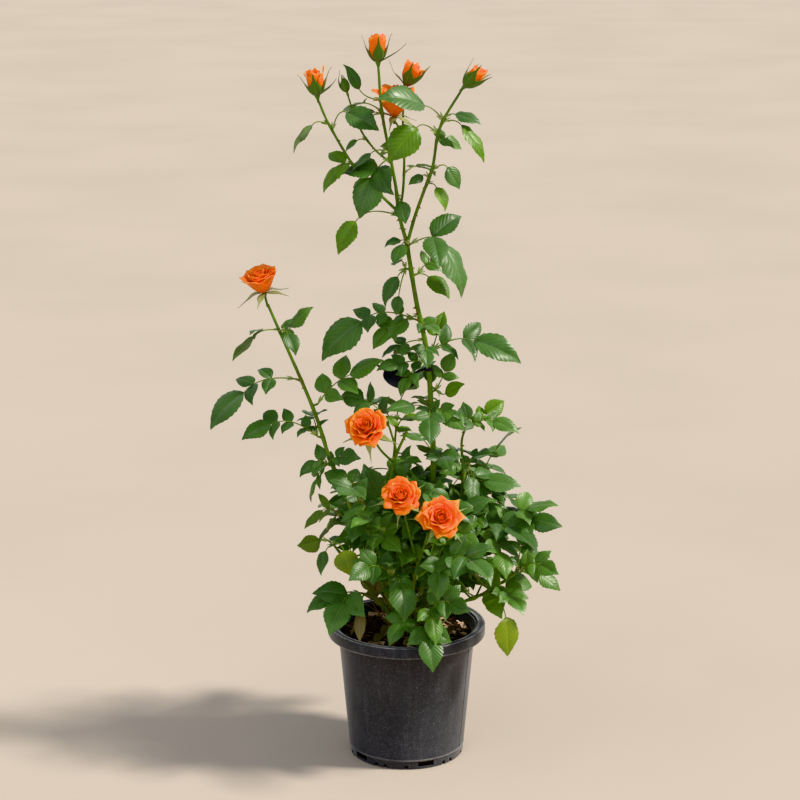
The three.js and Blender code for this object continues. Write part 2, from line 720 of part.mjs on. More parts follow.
// A compound leaf as one closed mesh: a four-sided stalk, with a leaflet in place of its end and of a short
// stretch of its left or right side wherever blades has one.
function leafSolid(curve, blades) {
  const points = [];
  const faces = [];
  const stalk = curve.getLength();
  const face = blades[0].face;
  const half = LEAFLET_ROOT / stalk;
  const pairs = new Set(blades.filter((blade) => blade.sign).map((blade) => blade.share));
  const cuts = [...pairs].sort((a, b) => a - b).flatMap((share) => [share - half, share + half]);
  const shares = [0, ...(cuts.length ? cuts : [0.5]), 1];
  const add = (point) => points.push(point) - 1;

  // Corners of each cross section: top left, top right, bottom right, bottom left.
  const corners = [[1, 1], [-1, 1], [-1, -1], [1, -1]];
  const sections = shares.map((share) => {
    const middle = curve.getPoint(share);
    const { up, side } = frameOf(curve.getTangent(share), face);
    const radius = STALK_RADIUS * (1 - STALK_TAPER * share);
    return corners.map(([s, u]) => {
      const corner = middle.clone().addScaledVector(side, s * radius);
      return add(corner.addScaledVector(up, u * radius * STALK_FLATNESS));
    });
  });

  // A leaflet on the opening between two edges of the stalk. near and far are [top, bottom] corners, and
  // nearSign says on which side of the leaflet the near edge is.
  const grow = (blade, near, far, nearSign) => {
    const { along, up, side } = frameOf(blade.heading, blade.face);
    const { length } = blade;
    const width = (length * LEAFLET_WIDTH) / 2;
    const lift = width * LEAFLET_FOLD;
    const at = (share, across, rise) => {
      const point = blade.root.clone().addScaledVector(along, share * length);
      return add(point.addScaledVector(side, across * width).addScaledVector(up, rise));
    };
    const edge = (sign) => {
      if (length < LARGE_LEAFLET) return [at(LEAFLET_WIDEST, sign, lift)];
      const second = lift * LARGE_WIDEST[1] - (length * LEAFLET_CURL) / 2;
      return [at(LARGE_WIDEST[0], sign, lift), at(LARGE_WIDEST[1], sign * LARGE_SECOND_WIDTH, second)];
    };
    const nearEdge = edge(nearSign);
    const farEdge = edge(-nearSign);
    const tip = at(1, 0, -length * LEAFLET_CURL);
    const outline = [...farEdge, tip, ...[...nearEdge].reverse()];
    const above = [near[0], far[0], ...outline];
    const below = [near[1], far[1], ...outline];
    const turn = nearSign > 0 ? (a, b, c) => faces.push([a, b, c]) : (a, b, c) => faces.push([c, b, a]);
    const tipAt = 2 + farEdge.length;
    for (let i = 0; i < above.length; i++) {
      const next = (i + 1) % above.length;
      if (i === tipAt || next === tipAt) continue;
      turn(tip, above[i], above[next]);
      turn(tip, below[next], below[i]);
    }
    turn(near[0], nearEdge[0], near[1]);
    turn(farEdge[0], far[0], far[1]);
  };

  const first = sections[0];
  const last = sections[sections.length - 1];
  faces.push([first[0], first[3], first[2]], [first[0], first[2], first[1]]);
  for (let i = 0; i + 1 < sections.length; i++) {
    const [a, b] = [sections[i], sections[i + 1]];
    const middle = (shares[i] + shares[i + 1]) / 2;
    const here = blades.filter((blade) => blade.sign && Math.abs(blade.share - middle) < half / 2);
    const left = here.find((blade) => blade.sign > 0);
    const right = here.find((blade) => blade.sign < 0);
    faces.push([a[0], a[1], b[1]], [a[0], b[1], b[0]], [a[3], b[3], b[2]], [a[3], b[2], a[2]]);
    if (left) grow(left, [a[0], a[3]], [b[0], b[3]], 1);
    else faces.push([a[0], b[0], b[3]], [a[0], b[3], a[3]]);
    if (right) grow(right, [a[1], a[2]], [b[1], b[2]], -1);
    else faces.push([a[1], a[2], b[2]], [a[1], b[2], b[1]]);
  }
  grow(blades[0], [last[0], last[3]], [last[1], last[2]], 1);
  return solidFrom(new THREE.BufferGeometry().setFromPoints(points).setIndex(faces.flat()));
}

// The leaves that a seeded rule sets round a twig, each a golden angle on from the one before it.
function ruledLeaves(curve, { leaves, size, seed }) {
  const random = seeded(seed);
  const spin = random() * Math.PI * 2;
  const rows = [];
  for (let i = 0; i < leaves; i++) {
    const share = Math.min(1, RULED_FIRST + ((1 - RULED_FIRST) * (i + 1)) / leaves);
    const last = i === leaves - 1;
    const length = size * (0.85 + 0.3 * random());
    const angle = spin + GOLDEN_ANGLE * i + 0.5 * (random() - 0.5);
    const along = curve.getTangent(share);
    const across = new THREE.Vector3().crossVectors(along, UP).normalize();
    const over = new THREE.Vector3().crossVectors(across, along);
    const way = across.multiplyScalar(Math.cos(angle)).addScaledVector(over, Math.sin(angle) * 0.6);
    way.addScaledVector(along, last ? 1.6 : 0.35).addScaledVector(UP, 0.15 * random()).normalize();
    const root = curve.getPoint(share);
    const tip = root.clone().addScaledVector(way, length * (1.9 + 0.4 * random()));
    rows.push({ root, tip, leaflets: RULED_LEAFLETS, size: length });
  }
  return rows;
}

const boxesMeet = (a, b) => [0, 1, 2].every((i) => a.min[i] < b.max[i] && b.min[i] < a.max[i]);

// Everything that is already placed, so that a new piece can be told whether it would touch another node's.
class Space {
  constructor() {
    this.taken = [];
  }

  add(owner, group, solid) {
    this.taken.push({ owner, group, solid, box: solid.boundingBox() });
  }

  touches(solid, ours) {
    const box = solid.boundingBox();
    const near = this.taken.filter((other) => !ours(other) && boxesMeet(box, other.box));
    return near.some((other) => !other.solid.intersect(solid).isEmpty());
  }
}

const space = new Space();
const limbs = new Map(); // name to { curve, solid, grown }
const masses = new Map(); // name to { on, solids }

function registerLimb(name, route, foot, tip) {
  const curve = routeThrough(route);
  const steps = Math.max(3, Math.round(curve.getLength() / CANE_STEP));
  const solid = limb(curve, foot, tip, CANE_SIDES, steps);
  limbs.set(name, { curve, solid, grown: limb(curve, foot, tip, CANE_SIDES, steps, CLEARANCE) });
  space.add(name, "limb", solid);
  return limbs.get(name);
}

// A solid turned about the Z axis from a profile of [radius, height] points.
function turnedSolid(profile, segments) {
  const outline = profile.map(([radius, height]) => new THREE.Vector2(radius, height));
  return solidFrom(new THREE.LatheGeometry(outline, segments).rotateX(Math.PI / 2));
}

// The radius inside the pot's wall at a height.
function innerRadius(z) {
  return THREE.MathUtils.mapLinear(z, 0, POT_HEIGHT, POT_BASE_RADIUS, POT_TOP_RADIUS) - WALL;
}

// The stump that the canes rise from, and the clearance that they keep to it.
function stump(grow = 0) {
  const foot = SOIL_TOP + SOIL_CROWN + GAP - grow;
  const radius = STUMP_RADIUS + grow;
  const height = STUMP_HEIGHT + grow;
  return turnedSolid([
    [0, foot],
    [radius * 1.15, foot],
    [radius, foot + height * 0.3],
    [radius * 0.9, foot + height * 0.75],
    [radius * 0.5, foot + height],
    [0, foot + height],
  ], STUMP_SEGMENTS);
}

// The pot: a tapered wall with a rolled rim, a ridge over its foot band, and drain slots through that band.
function pot() {
  const rimFoot = POT_HEIGHT - RIM_DEPTH;
  const rimInside = POT_HEIGHT - WALL;
  const profile = [
    [0, 0],
    [POT_BASE_RADIUS, 0],
    [POT_BASE_RADIUS + RIDGE / 2, FOOT_HEIGHT - RIDGE],
    [POT_BASE_RADIUS + RIDGE * 1.5, FOOT_HEIGHT],
    [POT_TOP_RADIUS, rimFoot],
    [POT_TOP_RADIUS + 1, rimInside],
    [POT_RIM_RADIUS - WALL, rimInside],
    [POT_RIM_RADIUS - WALL, rimFoot],
    [POT_RIM_RADIUS, rimFoot],
    [POT_RIM_RADIUS, POT_HEIGHT],
    [POT_RIM_RADIUS - RIM_SHELF, POT_HEIGHT],
    [innerRadius(rimFoot), rimFoot - 4],
    [innerRadius(FLOOR), FLOOR],
    [0, FLOOR],
  ];
  let body = turnedSolid(profile, POT_SEGMENTS);
  for (let i = 0; i < SLOT_COUNT; i++) {
    const angle = THREE.MathUtils.degToRad(SLOT_FIRST_DEG + (360 / SLOT_COUNT) * i);
    const slot = new THREE.BoxGeometry(4 * WALL, SLOT_WIDTH, SLOT_HEIGHT);
    slot.translate(POT_BASE_RADIUS, 0, SLOT_SILL + SLOT_HEIGHT / 2).rotateZ(angle);
    body = body.subtract(solidFrom(slot));
  }
  return body;
}

// The soil fills the pot to below its rim, and rises a little to the middle.
function soil() {
  const foot = FLOOR + GAP;
  const shoulder = innerRadius(SOIL_TOP) - GAP;
  return turnedSolid([
    [0, foot],
    [innerRadius(foot) - 1, foot],
    [shoulder - 1.5, SOIL_TOP - 2],
    [shoulder * 0.6, SOIL_TOP + SOIL_CROWN * 0.6],
    [STUMP_RADIUS * 1.4, SOIL_TOP + SOIL_CROWN],
    [0, SOIL_TOP + SOIL_CROWN],
  ], POT_SEGMENTS);
}

// A bud or bloom that sits on the end of its stalk: a hip that opens into a head of petals, and five sepals.
function flower(base, lean, { radius, height, open }) {
  const axis = lean.clone().normalize();
  const turned = new THREE.Quaternion().setFromUnitVectors(UP, axis);
  const wideAt = THREE.MathUtils.lerp(0.42, 0.7, open);
  const mouth = THREE.MathUtils.lerp(0.25, 0.86, open);
  const profile = [
    [0, -3],
    [HIP_RADIUS, HIP_HEIGHT * 0.4],
    [HIP_RADIUS * 0.8, HIP_HEIGHT],
    [radius, HIP_HEIGHT + height * wideAt],
    [radius * mouth, height + HIP_HEIGHT * 0.6],
    [0, height + HIP_HEIGHT],
  ];
  const outline = profile.map(([r, z]) => new THREE.Vector2(r, z));
  const head = new THREE.LatheGeometry(outline, BLOOM_SIDES).rotateX(Math.PI / 2);
  const solids = [solidFrom(head.applyQuaternion(turned).translate(base.x, base.y, base.z))];
  const rise = THREE.MathUtils.lerp(0.9, -0.5, open);
  const sepals = open > OPEN_ENOUGH ? SEPAL_COUNT : 0;
  const length = Math.min(SEPAL_LENGTH, radius * 1.5);
  for (let i = 0; i < sepals; i++) {
    const angle = ((i + 0.5) / SEPAL_COUNT) * Math.PI * 2;
    const out = new THREE.Vector3(Math.cos(angle), Math.sin(angle), 0);
    const way = out.clone().addScaledVector(UP, rise).applyQuaternion(turned);
    const foot = out.clone().multiplyScalar(HIP_RADIUS * 0.5).setZ(HIP_HEIGHT * 0.6);
    solids.push(spike(foot.applyQuaternion(turned).add(base), way, length, SEPAL_RADIUS));
  }
  return fuse(solids);
}

// The label: a plain plate beside the main cane, a ring that holds it there, and a strap's loose end.
function label() {
  const { curve } = limbs.get("main_cane");
  const middle = curve.getPoint(shareAtHeight(curve, LABEL_HEIGHT));
  const outer = LABEL_RING.inner + LABEL_RING.thick;
  const ringShape = new THREE.Shape().absarc(0, 0, outer, 0, Math.PI * 2);
  ringShape.holes.push(new THREE.Path().absarc(0, 0, LABEL_RING.inner, 0, Math.PI * 2));
  const ringOptions = { depth: LABEL_RING.height, bevelEnabled: false, curveSegments: 5 };
  const ring = new THREE.ExtrudeGeometry(ringShape, ringOptions);
  ring.translate(middle.x, middle.y, middle.z - LABEL_RING.height / 2);
  const plateShape = new THREE.Shape().absarc(0, 0, LABEL_PLATE.radius, 0, Math.PI * 2);
  const plateOptions = { depth: LABEL_PLATE.thick, bevelEnabled: false, curveSegments: 7 };
  const plate = new THREE.ExtrudeGeometry(plateShape, plateOptions);
  plate.scale(1, LABEL_PLATE.squash, 1).rotateX(Math.PI / 2);
  plate.rotateY(LABEL_PLATE.swing).rotateX(LABEL_PLATE.nod).translate(...LABEL_PLATE.middle);
  const hold = [middle.x - LABEL_RING.inner - LABEL_RING.thick / 2, middle.y, middle.z];
  const radius = LABEL_STRAP_RADIUS;
  const tab = limb(routeThrough([hold, LABEL_PLATE.middle]), radius * 0.6, radius, 4, 1);
  const tail = limb(routeThrough([LABEL_PLATE.middle, ...LABEL_TAIL]), radius, radius * 0.8, 4, 6);
  return fuse([solidFrom(ring), solidFrom(plate), tab, tail]);
}

// Masses first get their stems and the room of their leaf stalks, and then their leaflets, so that no leaflet
// takes a stem's place.
const pending = [];

function startMass(name, on, solids) {
  masses.set(name, { on, solids });
  solids.forEach((solid) => space.add(name, "stem", solid));
}

function placeStalk(name, root, row, key) {
  const { curve, blades } = compoundLeaf(root, row);
  const room = limb(curve, STALK_RADIUS, STALK_RADIUS, 3, 2, GAP);
  const { on } = masses.get(name);
  const ours = (other) => other.owner === name || (other.group === "limb" && other.owner === on);
  if (space.touches(room, ours)) return;
  space.add(name, key, room);
  pending.push({ name, key, curve, blades });
}

function placeLeaflets() {
  for (const { name, key, curve, blades } of pending) {
    const ours = (other) => other.owner === name && (other.group === "stem" || other.group === key);
    const kept = blades.filter((blade) => {
      if (space.touches(leafletRoom(blade, GAP), ours)) return false;
      space.add(name, key, leafletRoom(blade, 0));
      return true;
    });
    if (kept[0] === blades[0]) masses.get(name).solids.push(leafSolid(curve, kept));
  }
}

// A mass as one body, cut clear of every cane, and of the shoots that come before it.
function finishMass(name) {
  let whole = fuse(masses.get(name).solids);
  for (const [other, { grown }] of limbs) {
    if (other === name) break;
    if (boxesMeet(whole.boundingBox(), grown.boundingBox())) whole = whole.subtract(grown);
  }
  return wholeBody(whole);
}

const root = new THREE.Group();
const finishes = {
  pot: { color: 0x2d2c32, roughness: 0.62, metalness: 0 },
  soil: { color: 0x2a2019, roughness: 0.95, metalness: 0 },
  bark: { color: 0x4e6b26, roughness: 0.6, metalness: 0 },
  stump: { color: 0x5a4632, roughness: 0.85, metalness: 0 },
  leaf: { color: 0x2f5a2b, roughness: 0.45, metalness: 0 },
  petal: { color: 0xff6a1e, roughness: 0.55, metalness: 0 },
  label: { color: 0x25242c, roughness: 0.4, metalness: 0 },
};

function addNode(name, solid, finish) {
  const { vertProperties, triVerts, numProp } = solid.getMesh();
  const position = new Float32Array((vertProperties.length / numProp) * 3);
  for (let i = 0; i < position.length / 3; i++) {
    position.set(vertProperties.subarray(i * numProp, i * numProp + 3), i * 3);
  }
  const geometry = new THREE.BufferGeometry();
  geometry.setAttribute("position", new THREE.BufferAttribute(position, 3));
  geometry.setIndex(new THREE.BufferAttribute(new Uint32Array(triVerts), 1)).computeVertexNormals();
  const mesh = new THREE.Mesh(geometry, new THREE.MeshStandardMaterial(finishes[finish]));
  mesh.name = name;
  root.add(mesh);
}

const potSolid = pot();
const soilSolid = soil();
const stumpSolid = stump();
space.add("pot", "pot", potSolid);
space.add("soil", "pot", soilSolid);
space.add("stump", "pot", stumpSolid);
const stumpRoom = stump(GAP);
for (const [name, { route, foot, tip }] of Object.entries(CANES)) {
  const cane = registerLimb(name, route, foot, tip);
  cane.solid = cane.solid.subtract(stumpRoom);
}
// Canes that leave the stump side by side are parted low down, each cut clear of the ones before it.
const caneNames = Object.keys(CANES);
caneNames.forEach((name, i) => {
  const cane = limbs.get(name);
  for (const earlier of caneNames.slice(0, i)) cane.solid = cane.solid.subtract(limbs.get(earlier).grown);
  cane.solid = wholeBody(cane.solid);
});

for (const [name, shoot] of Object.entries(FLOWER_SHOOTS)) {
  const { solid, curve } = registerLimb(name, shoot.route, shoot.foot, shoot.tip);
  const lean = shoot.bud.lean ? vec(shoot.bud.lean) : curve.getTangent(1);
  const solids = [solid, flower(curve.getPoint(1), lean, shoot.bud)];
  if (shoot.bloom) {
    const { at, base } = shoot.bloom;
    const start = curve.getPoint(shareAtHeight(curve, at));
    const bend = start.clone().lerp(vec(base), 0.5).setZ(base[2] - 8);
    const stalk = new THREE.QuadraticBezierCurve3(start, bend, vec(base));
    solids.push(limb(stalk, SIDE_STALK_RADIUS, SIDE_STALK_RADIUS * 0.8, 4, 3));
    solids.push(flower(vec(base), vec(shoot.bloom.lean), shoot.bloom));
  }
  startMass(name, shoot.on, solids);
}
for (const [name, bloom] of Object.entries(BLOOMS)) {
  const curve = routeThrough(bloom.stalk);
  const end = curve.getPoint(1);
  const stalk = limb(curve, BLOOM_STALK_RADIUS, BLOOM_STALK_RADIUS * 0.9, 5, 4);
  startMass(name, bloom.on, [stalk, flower(end, vec(bloom.lean), bloom)]);
}
for (const [name, mass] of Object.entries(LEAF_MASSES)) {
  const { curve } = limbs.get(mass.on);
  const start = curve.getPoint(shareAtHeight(curve, mass.at));
  const heading = THREE.MathUtils.degToRad(mass.heading);
  const way = new THREE.Vector3(Math.cos(heading), Math.sin(heading), SPUR_RISE);
  const end = start.clone().addScaledVector(way, SPUR_LENGTH);
  mass.end = end;
  startMass(name, mass.on, [limb(new THREE.LineCurve3(start, end), SPUR_RADIUS, SPUR_RADIUS, 5, 1)]);
}
for (const [name, twig] of Object.entries(LEAFY_TWIGS)) {
  const { curve } = limbs.get(twig.on);
  const start = curve.getPoint(shareAtHeight(curve, twig.at));
  const end = vec(twig.tip);
  const bend = start.clone().lerp(end, 0.5).addScaledVector(UP, TWIG_ARCH * start.distanceTo(end));
  twig.curve = new THREE.QuadraticBezierCurve3(start, bend, end);
  startMass(name, twig.on, [limb(twig.curve, TWIG_RADIUS, TWIG_RADIUS * 0.7, 4, 4)]);
}

for (const [name, shoot] of Object.entries(FLOWER_SHOOTS)) {
  const { curve } = limbs.get(name);
  shoot.leaves.forEach((row, i) => {
    placeStalk(name, curve.getPoint(shareAtHeight(curve, row.at)), row, "leaf" + i);
  });
}
for (const [name, mass] of Object.entries(LEAF_MASSES)) {
  mass.leaves.forEach((row, i) => placeStalk(name, mass.end, row, "leaf" + i));
}
for (const [name, twig] of Object.entries(LEAFY_TWIGS)) {
  twig.leaves.forEach((row, i) => {
    placeStalk(name, twig.curve.getPoint(TWIG_LEAF_FIRST - TWIG_LEAF_STEP * i), row, "leaf" + i);
  });
  const ruled = twig.ruled ? ruledLeaves(twig.curve, twig.ruled) : [];
  ruled.forEach((row, i) => placeStalk(name, row.root, row, "ruled" + i));
}
placeLeaflets();

addNode("pot", potSolid, "pot");
addNode("soil", soilSolid, "soil");
addNode("stump", stumpSolid, "stump");
for (const name of caneNames) addNode(name, limbs.get(name).solid, "bark");
for (const name of Object.keys(FLOWER_SHOOTS)) addNode(name, finishMass(name), "leaf");
for (const name of Object.keys(BLOOMS)) addNode(name, finishMass(name), "petal");
for (const name of Object.keys(LEAF_MASSES)) addNode(name, finishMass(name), "leaf");
for (const name of Object.keys(LEAFY_TWIGS)) addNode(name, finishMass(name), "leaf");
addNode("stem_label", label(), "label");

export default root;
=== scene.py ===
"""A rose bush in its nursery pot: canes, leaves, buds, blooms, soil, pot and label, in metres.

The canes' routes and the leaves' places are in millimetres, as in the part's source, and grow by its rules.
"""
import logging
from collections import defaultdict
from dataclasses import dataclass, replace
from enum import Enum
from math import cos, degrees, hypot, pi, radians, sin

import bmesh
import bpy
import numpy as np
from bpy.types import Material, Mesh, Node, NodeSocket, NodeTree, Object
from mathutils import Matrix, Vector, noise


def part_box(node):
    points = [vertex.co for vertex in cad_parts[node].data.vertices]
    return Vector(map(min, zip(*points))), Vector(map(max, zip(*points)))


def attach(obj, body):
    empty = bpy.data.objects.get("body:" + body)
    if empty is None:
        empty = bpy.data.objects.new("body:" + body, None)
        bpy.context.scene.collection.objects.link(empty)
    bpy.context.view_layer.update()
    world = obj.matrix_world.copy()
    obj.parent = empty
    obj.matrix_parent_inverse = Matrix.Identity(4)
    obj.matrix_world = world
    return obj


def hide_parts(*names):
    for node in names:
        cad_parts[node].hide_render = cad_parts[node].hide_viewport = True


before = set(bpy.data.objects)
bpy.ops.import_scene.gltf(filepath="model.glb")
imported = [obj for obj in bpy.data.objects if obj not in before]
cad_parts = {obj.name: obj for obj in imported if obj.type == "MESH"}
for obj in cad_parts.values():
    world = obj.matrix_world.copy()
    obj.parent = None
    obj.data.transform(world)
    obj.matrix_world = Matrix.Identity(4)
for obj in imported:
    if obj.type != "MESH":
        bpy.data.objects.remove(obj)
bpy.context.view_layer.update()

LOG = logging.getLogger("rose_bush")

MM = 0.001
UP = np.array((0.0, 0.0, 1.0))
FRONT = np.array((0.0, -1.0, 0.0))
GOLDEN_ANGLE = radians(137.5)
TENSION = 0.5  # of a smooth route through points
WORD = 0xFFFFFFFF  # the 32 bits that a seeded source keeps
UV_ACROSS = 1.4  # spreads a leaflet's width over the "blade" map

Array = np.ndarray
Point = tuple[float, float, float]
Colour = tuple[float, float, float]
Tube = tuple[Array, float, float]


class Tone(Enum):
    """The colour group that a spray of leaves is dealt."""

    DEEP = "deep"
    MID = "mid"
    BACKLIT_LIME = "lime"
    # Yellow-green: partly the lighter green of young leaves, partly a painted glow of sunlight through
    # backlit leaves, which are opaque here
    OLD = "old"
    OLIVE = "olive"
    DRY = "dry"


DEEP, MID, BACKLIT_LIME, OLD, OLIVE, DRY = Tone


@dataclass(frozen=True)
class Leaf:
    """A compound leaf: the tip of its end leaflet, its count of leaflets and the end leaflet's length."""

    tip: Point
    leaflets: int
    size: float
    droop: float = 0.35
    at: float = 0.0
    side: float = 0.8
    turn: float = 0.0
    tone: Tone = DEEP
    fold: float = 0.26
    width: float = 1.0


@dataclass(frozen=True)
class Flower:
    """A bud or bloom: its radius, its height, how far it is open from 0 to 1, and the way it leans."""

    radius: float
    height: float
    open: float
    lean: Point | None = None


@dataclass(frozen=True)
class Cane:
    """A cane's route and its radius at the foot and at the tip."""

    route: tuple[Point, ...]
    foot: float
    tip: float


@dataclass(frozen=True)
class SideBloom:
    """A bloom on a short stalk that leaves its shoot at a height."""

    at: float
    base: Point
    flower: Flower


@dataclass(frozen=True)
class Shoot:
    """A leafy shoot that ends in a bud."""

    route: tuple[Point, ...]
    foot: float
    tip: float
    bud: Flower
    leaves: tuple[Leaf, ...]
    side_bloom: SideBloom | None = None


@dataclass(frozen=True)
class Bloom:
    """A bloom on its own stalk."""

    stalk: tuple[Point, ...]
    flower: Flower


@dataclass(frozen=True)
class Mass:
    """Leaves that leave a cane at one height, by a short spur that points to a heading in degrees from +X."""

    on: str
    at: float
    heading: float
    leaves: tuple[Leaf, ...]


@dataclass(frozen=True)
class Ruled:
    """How many leaves a seeded rule sets round a twig, and their size."""

    leaves: int
    size: float
    seed: int


@dataclass(frozen=True)
class Twig:
    """A leafy twig of the low crown, from a height on its cane to its tip."""

    on: str
    at: float
    tip: Point
    ruled: Ruled | None = None
    leaves: tuple[Leaf, ...] = ()


CANES = {
    "main_cane": Cane((
        (5, 2, 206), (29, 7, 260), (41, 6, 441), (40, 3, 535), (31, 0, 655), (14, 0, 740), (-1, 0, 833),
    ), 5.4, 3.2),
    "left_cane": Cane((
        (-6, 0, 206), (-42, -3, 290), (-79, -8, 386), (-120, -8, 488), (-147, -6, 572), (-214, 0, 732),
    ), 4.2, 2.1),
    "centre_cane": Cane((
        (-2, -5, 206), (-20, -18, 300), (-30, -24, 400), (-21, -22, 482), (0, -20, 535),
    ), 3.8, 2),
    "right_cane": Cane((
        (7, -2, 206), (52, 4, 300), (84, 4, 410), (88, 0, 468), (86, 0, 514), (96, 2, 545),
    ), 3.8, 1.7),
    "low_right_cane": Cane((
        (7, -5, 206), (60, -26, 246), (112, -40, 272), (158, -60, 307),
    ), 3.4, 1.8),
    "front_cane": Cane((
        (2, -7, 206), (6, -46, 262), (16, -78, 330), (32, -92, 388),
    ), 3.6, 1.9),
    "low_left_cane": Cane((
        (-7, -4, 206), (-48, -22, 262), (-86, -34, 318), (-112, -36, 352),
    ), 3.2, 1.7),
    "back_cane": Cane((
        (0, 6, 206), (-14, 44, 290), (-24, 74, 390), (-20, 84, 470),
    ), 3.8, 1.8),
}

FLOWER_SHOOTS = {
    "upper_middle_shoot": Shoot(
        ((-1, 0, 831), (-12, 0, 872), (-17, 0, 915), (-27, 0, 970), (-38, 0, 1030), (-43, 0, 1097)),
        2.9, 1.9,
        Flower(16, 39, 0.2),
        (
            Leaf((-95, 10, 1101), 1, 46, -0.5, at=1046, width=0.6),
            Leaf((-101, 45, 1023), 3, 36, at=1028, tone=MID),
            Leaf((-71, -15, 1029), 1, 26, 0.1, at=1024),
            Leaf((-71, -45, 873), 3, 66, 0.5, at=959, side=0.9, width=1.1),
            Leaf((-86, -20, 938), 1, 44, at=968),
            Leaf((-108, -15, 814), 1, 58, 0.9, at=870, tone=BACKLIT_LIME),
            Leaf((-1, -22, 861), 1, 36, at=902),
        ),
    ),
    "upper_right_shoot": Shoot(
        ((1, 0, 829), (12, 0, 868), (24, 0, 903), (39, 0, 945), (50, 0, 1005), (83, 0, 1063)),
        2.7, 1.8,
        Flower(13, 37, 0.15, lean=(0.7, 0, 0.7)),
        (
            Leaf((-43, -50, 1057), 1, 80, 0.15, at=1015, turn=-8, fold=0.5, width=0.9),
            Leaf((-31, -35, 957), 1, 96, 0.5, at=995, turn=-22, tone=BACKLIT_LIME),
            Leaf((113, -10, 1011), 1, 50, 0.2, at=1019),
            Leaf((120, -25, 955), 1, 84, 0.4, at=1013, tone=BACKLIT_LIME, width=0.62),
            Leaf((84, 18, 968), 3, 38, 0.2, at=984, tone=MID),
            Leaf((3, -20, 920), 1, 38, 0.3, at=928),
            Leaf((58, -22, 879), 1, 48, 0.6, at=920, tone=BACKLIT_LIME),
            Leaf((80, 6, 909), 1, 42, 0.9, at=940),
        ),
    ),
    "upper_left_shoot": Shoot(
        ((-13, -2, 876), (-40, -4, 903), (-80, -3, 946), (-118, 0, 1010), (-134, 0, 1047)),
        2.3, 1.7,
        Flower(15, 37, 0.25, lean=(-0.15, 0, 1)),
        (
            Leaf((-173, -15, 966), 1, 54, 0.5, at=1009, turn=70, width=0.7),
            Leaf((-42, -34, 1006), 1, 64, 0.5, at=1000),
            Leaf((-125, -15, 906), 3, 50, 0.6, at=949, tone=BACKLIT_LIME),
            Leaf((-83, 17, 910), 1, 26, at=922, tone=BACKLIT_LIME),
        ),
    ),
    "green_bud_shoot": Shoot(
        ((-24, 2, 950), (-47, 6, 969), (-66, 8, 993), (-80, 8, 1024), (-90, 6, 1056)),
        1.7, 1.3,
        Flower(8, 24, 0),
        (
            Leaf((-94, 14, 966), 1, 26, at=984, tone=MID),
        ),
    ),
    "upper_back_shoot": Shoot(
        ((-12, 4, 872), (-6, 22, 905), (-4, 32, 950), (-6, 38, 1005), (-4, 42, 1058)),
        2.1, 1.5,
        Flower(15, 33, 0.4, lean=(0.4, -0.1, 0.9)),
        (
            Leaf((-40, 72, 950), 3, 34, at=965, tone=MID),
            Leaf((46, 78, 918), 3, 40, at=930, tone=MID),
        ),
        side_bloom=SideBloom(976, (-19, 24, 1012), Flower(25, 50, 0.72, lean=(0.05, -0.15, 1))),
    ),
}

BLOOMS = {
    "left_bloom": Bloom(
        ((-214, 0, 728), (-218, 0, 745)),
        Flower(30, 42, 0.7, lean=(-0.2, -0.25, 1)),
    ),
    "centre_bloom": Bloom(
        ((-21, -23, 486), (-40, -46, 512), (-55, -58, 540)),
        Flower(31, 38, 0.9, lean=(-0.3, -0.75, 0.75)),
    ),
    "front_left_bloom": Bloom(
        ((17, -79, 334), (2, -92, 400), (-8, -96, 444)),
        Flower(29, 34, 0.9, lean=(-0.1, -0.75, 0.75)),
    ),
    "front_right_bloom": Bloom(
        ((32, -92, 386), (43, -100, 404), (49, -104, 415)),
        Flower(33, 36, 1, lean=(0.12, -0.85, 0.6)),
    ),
}

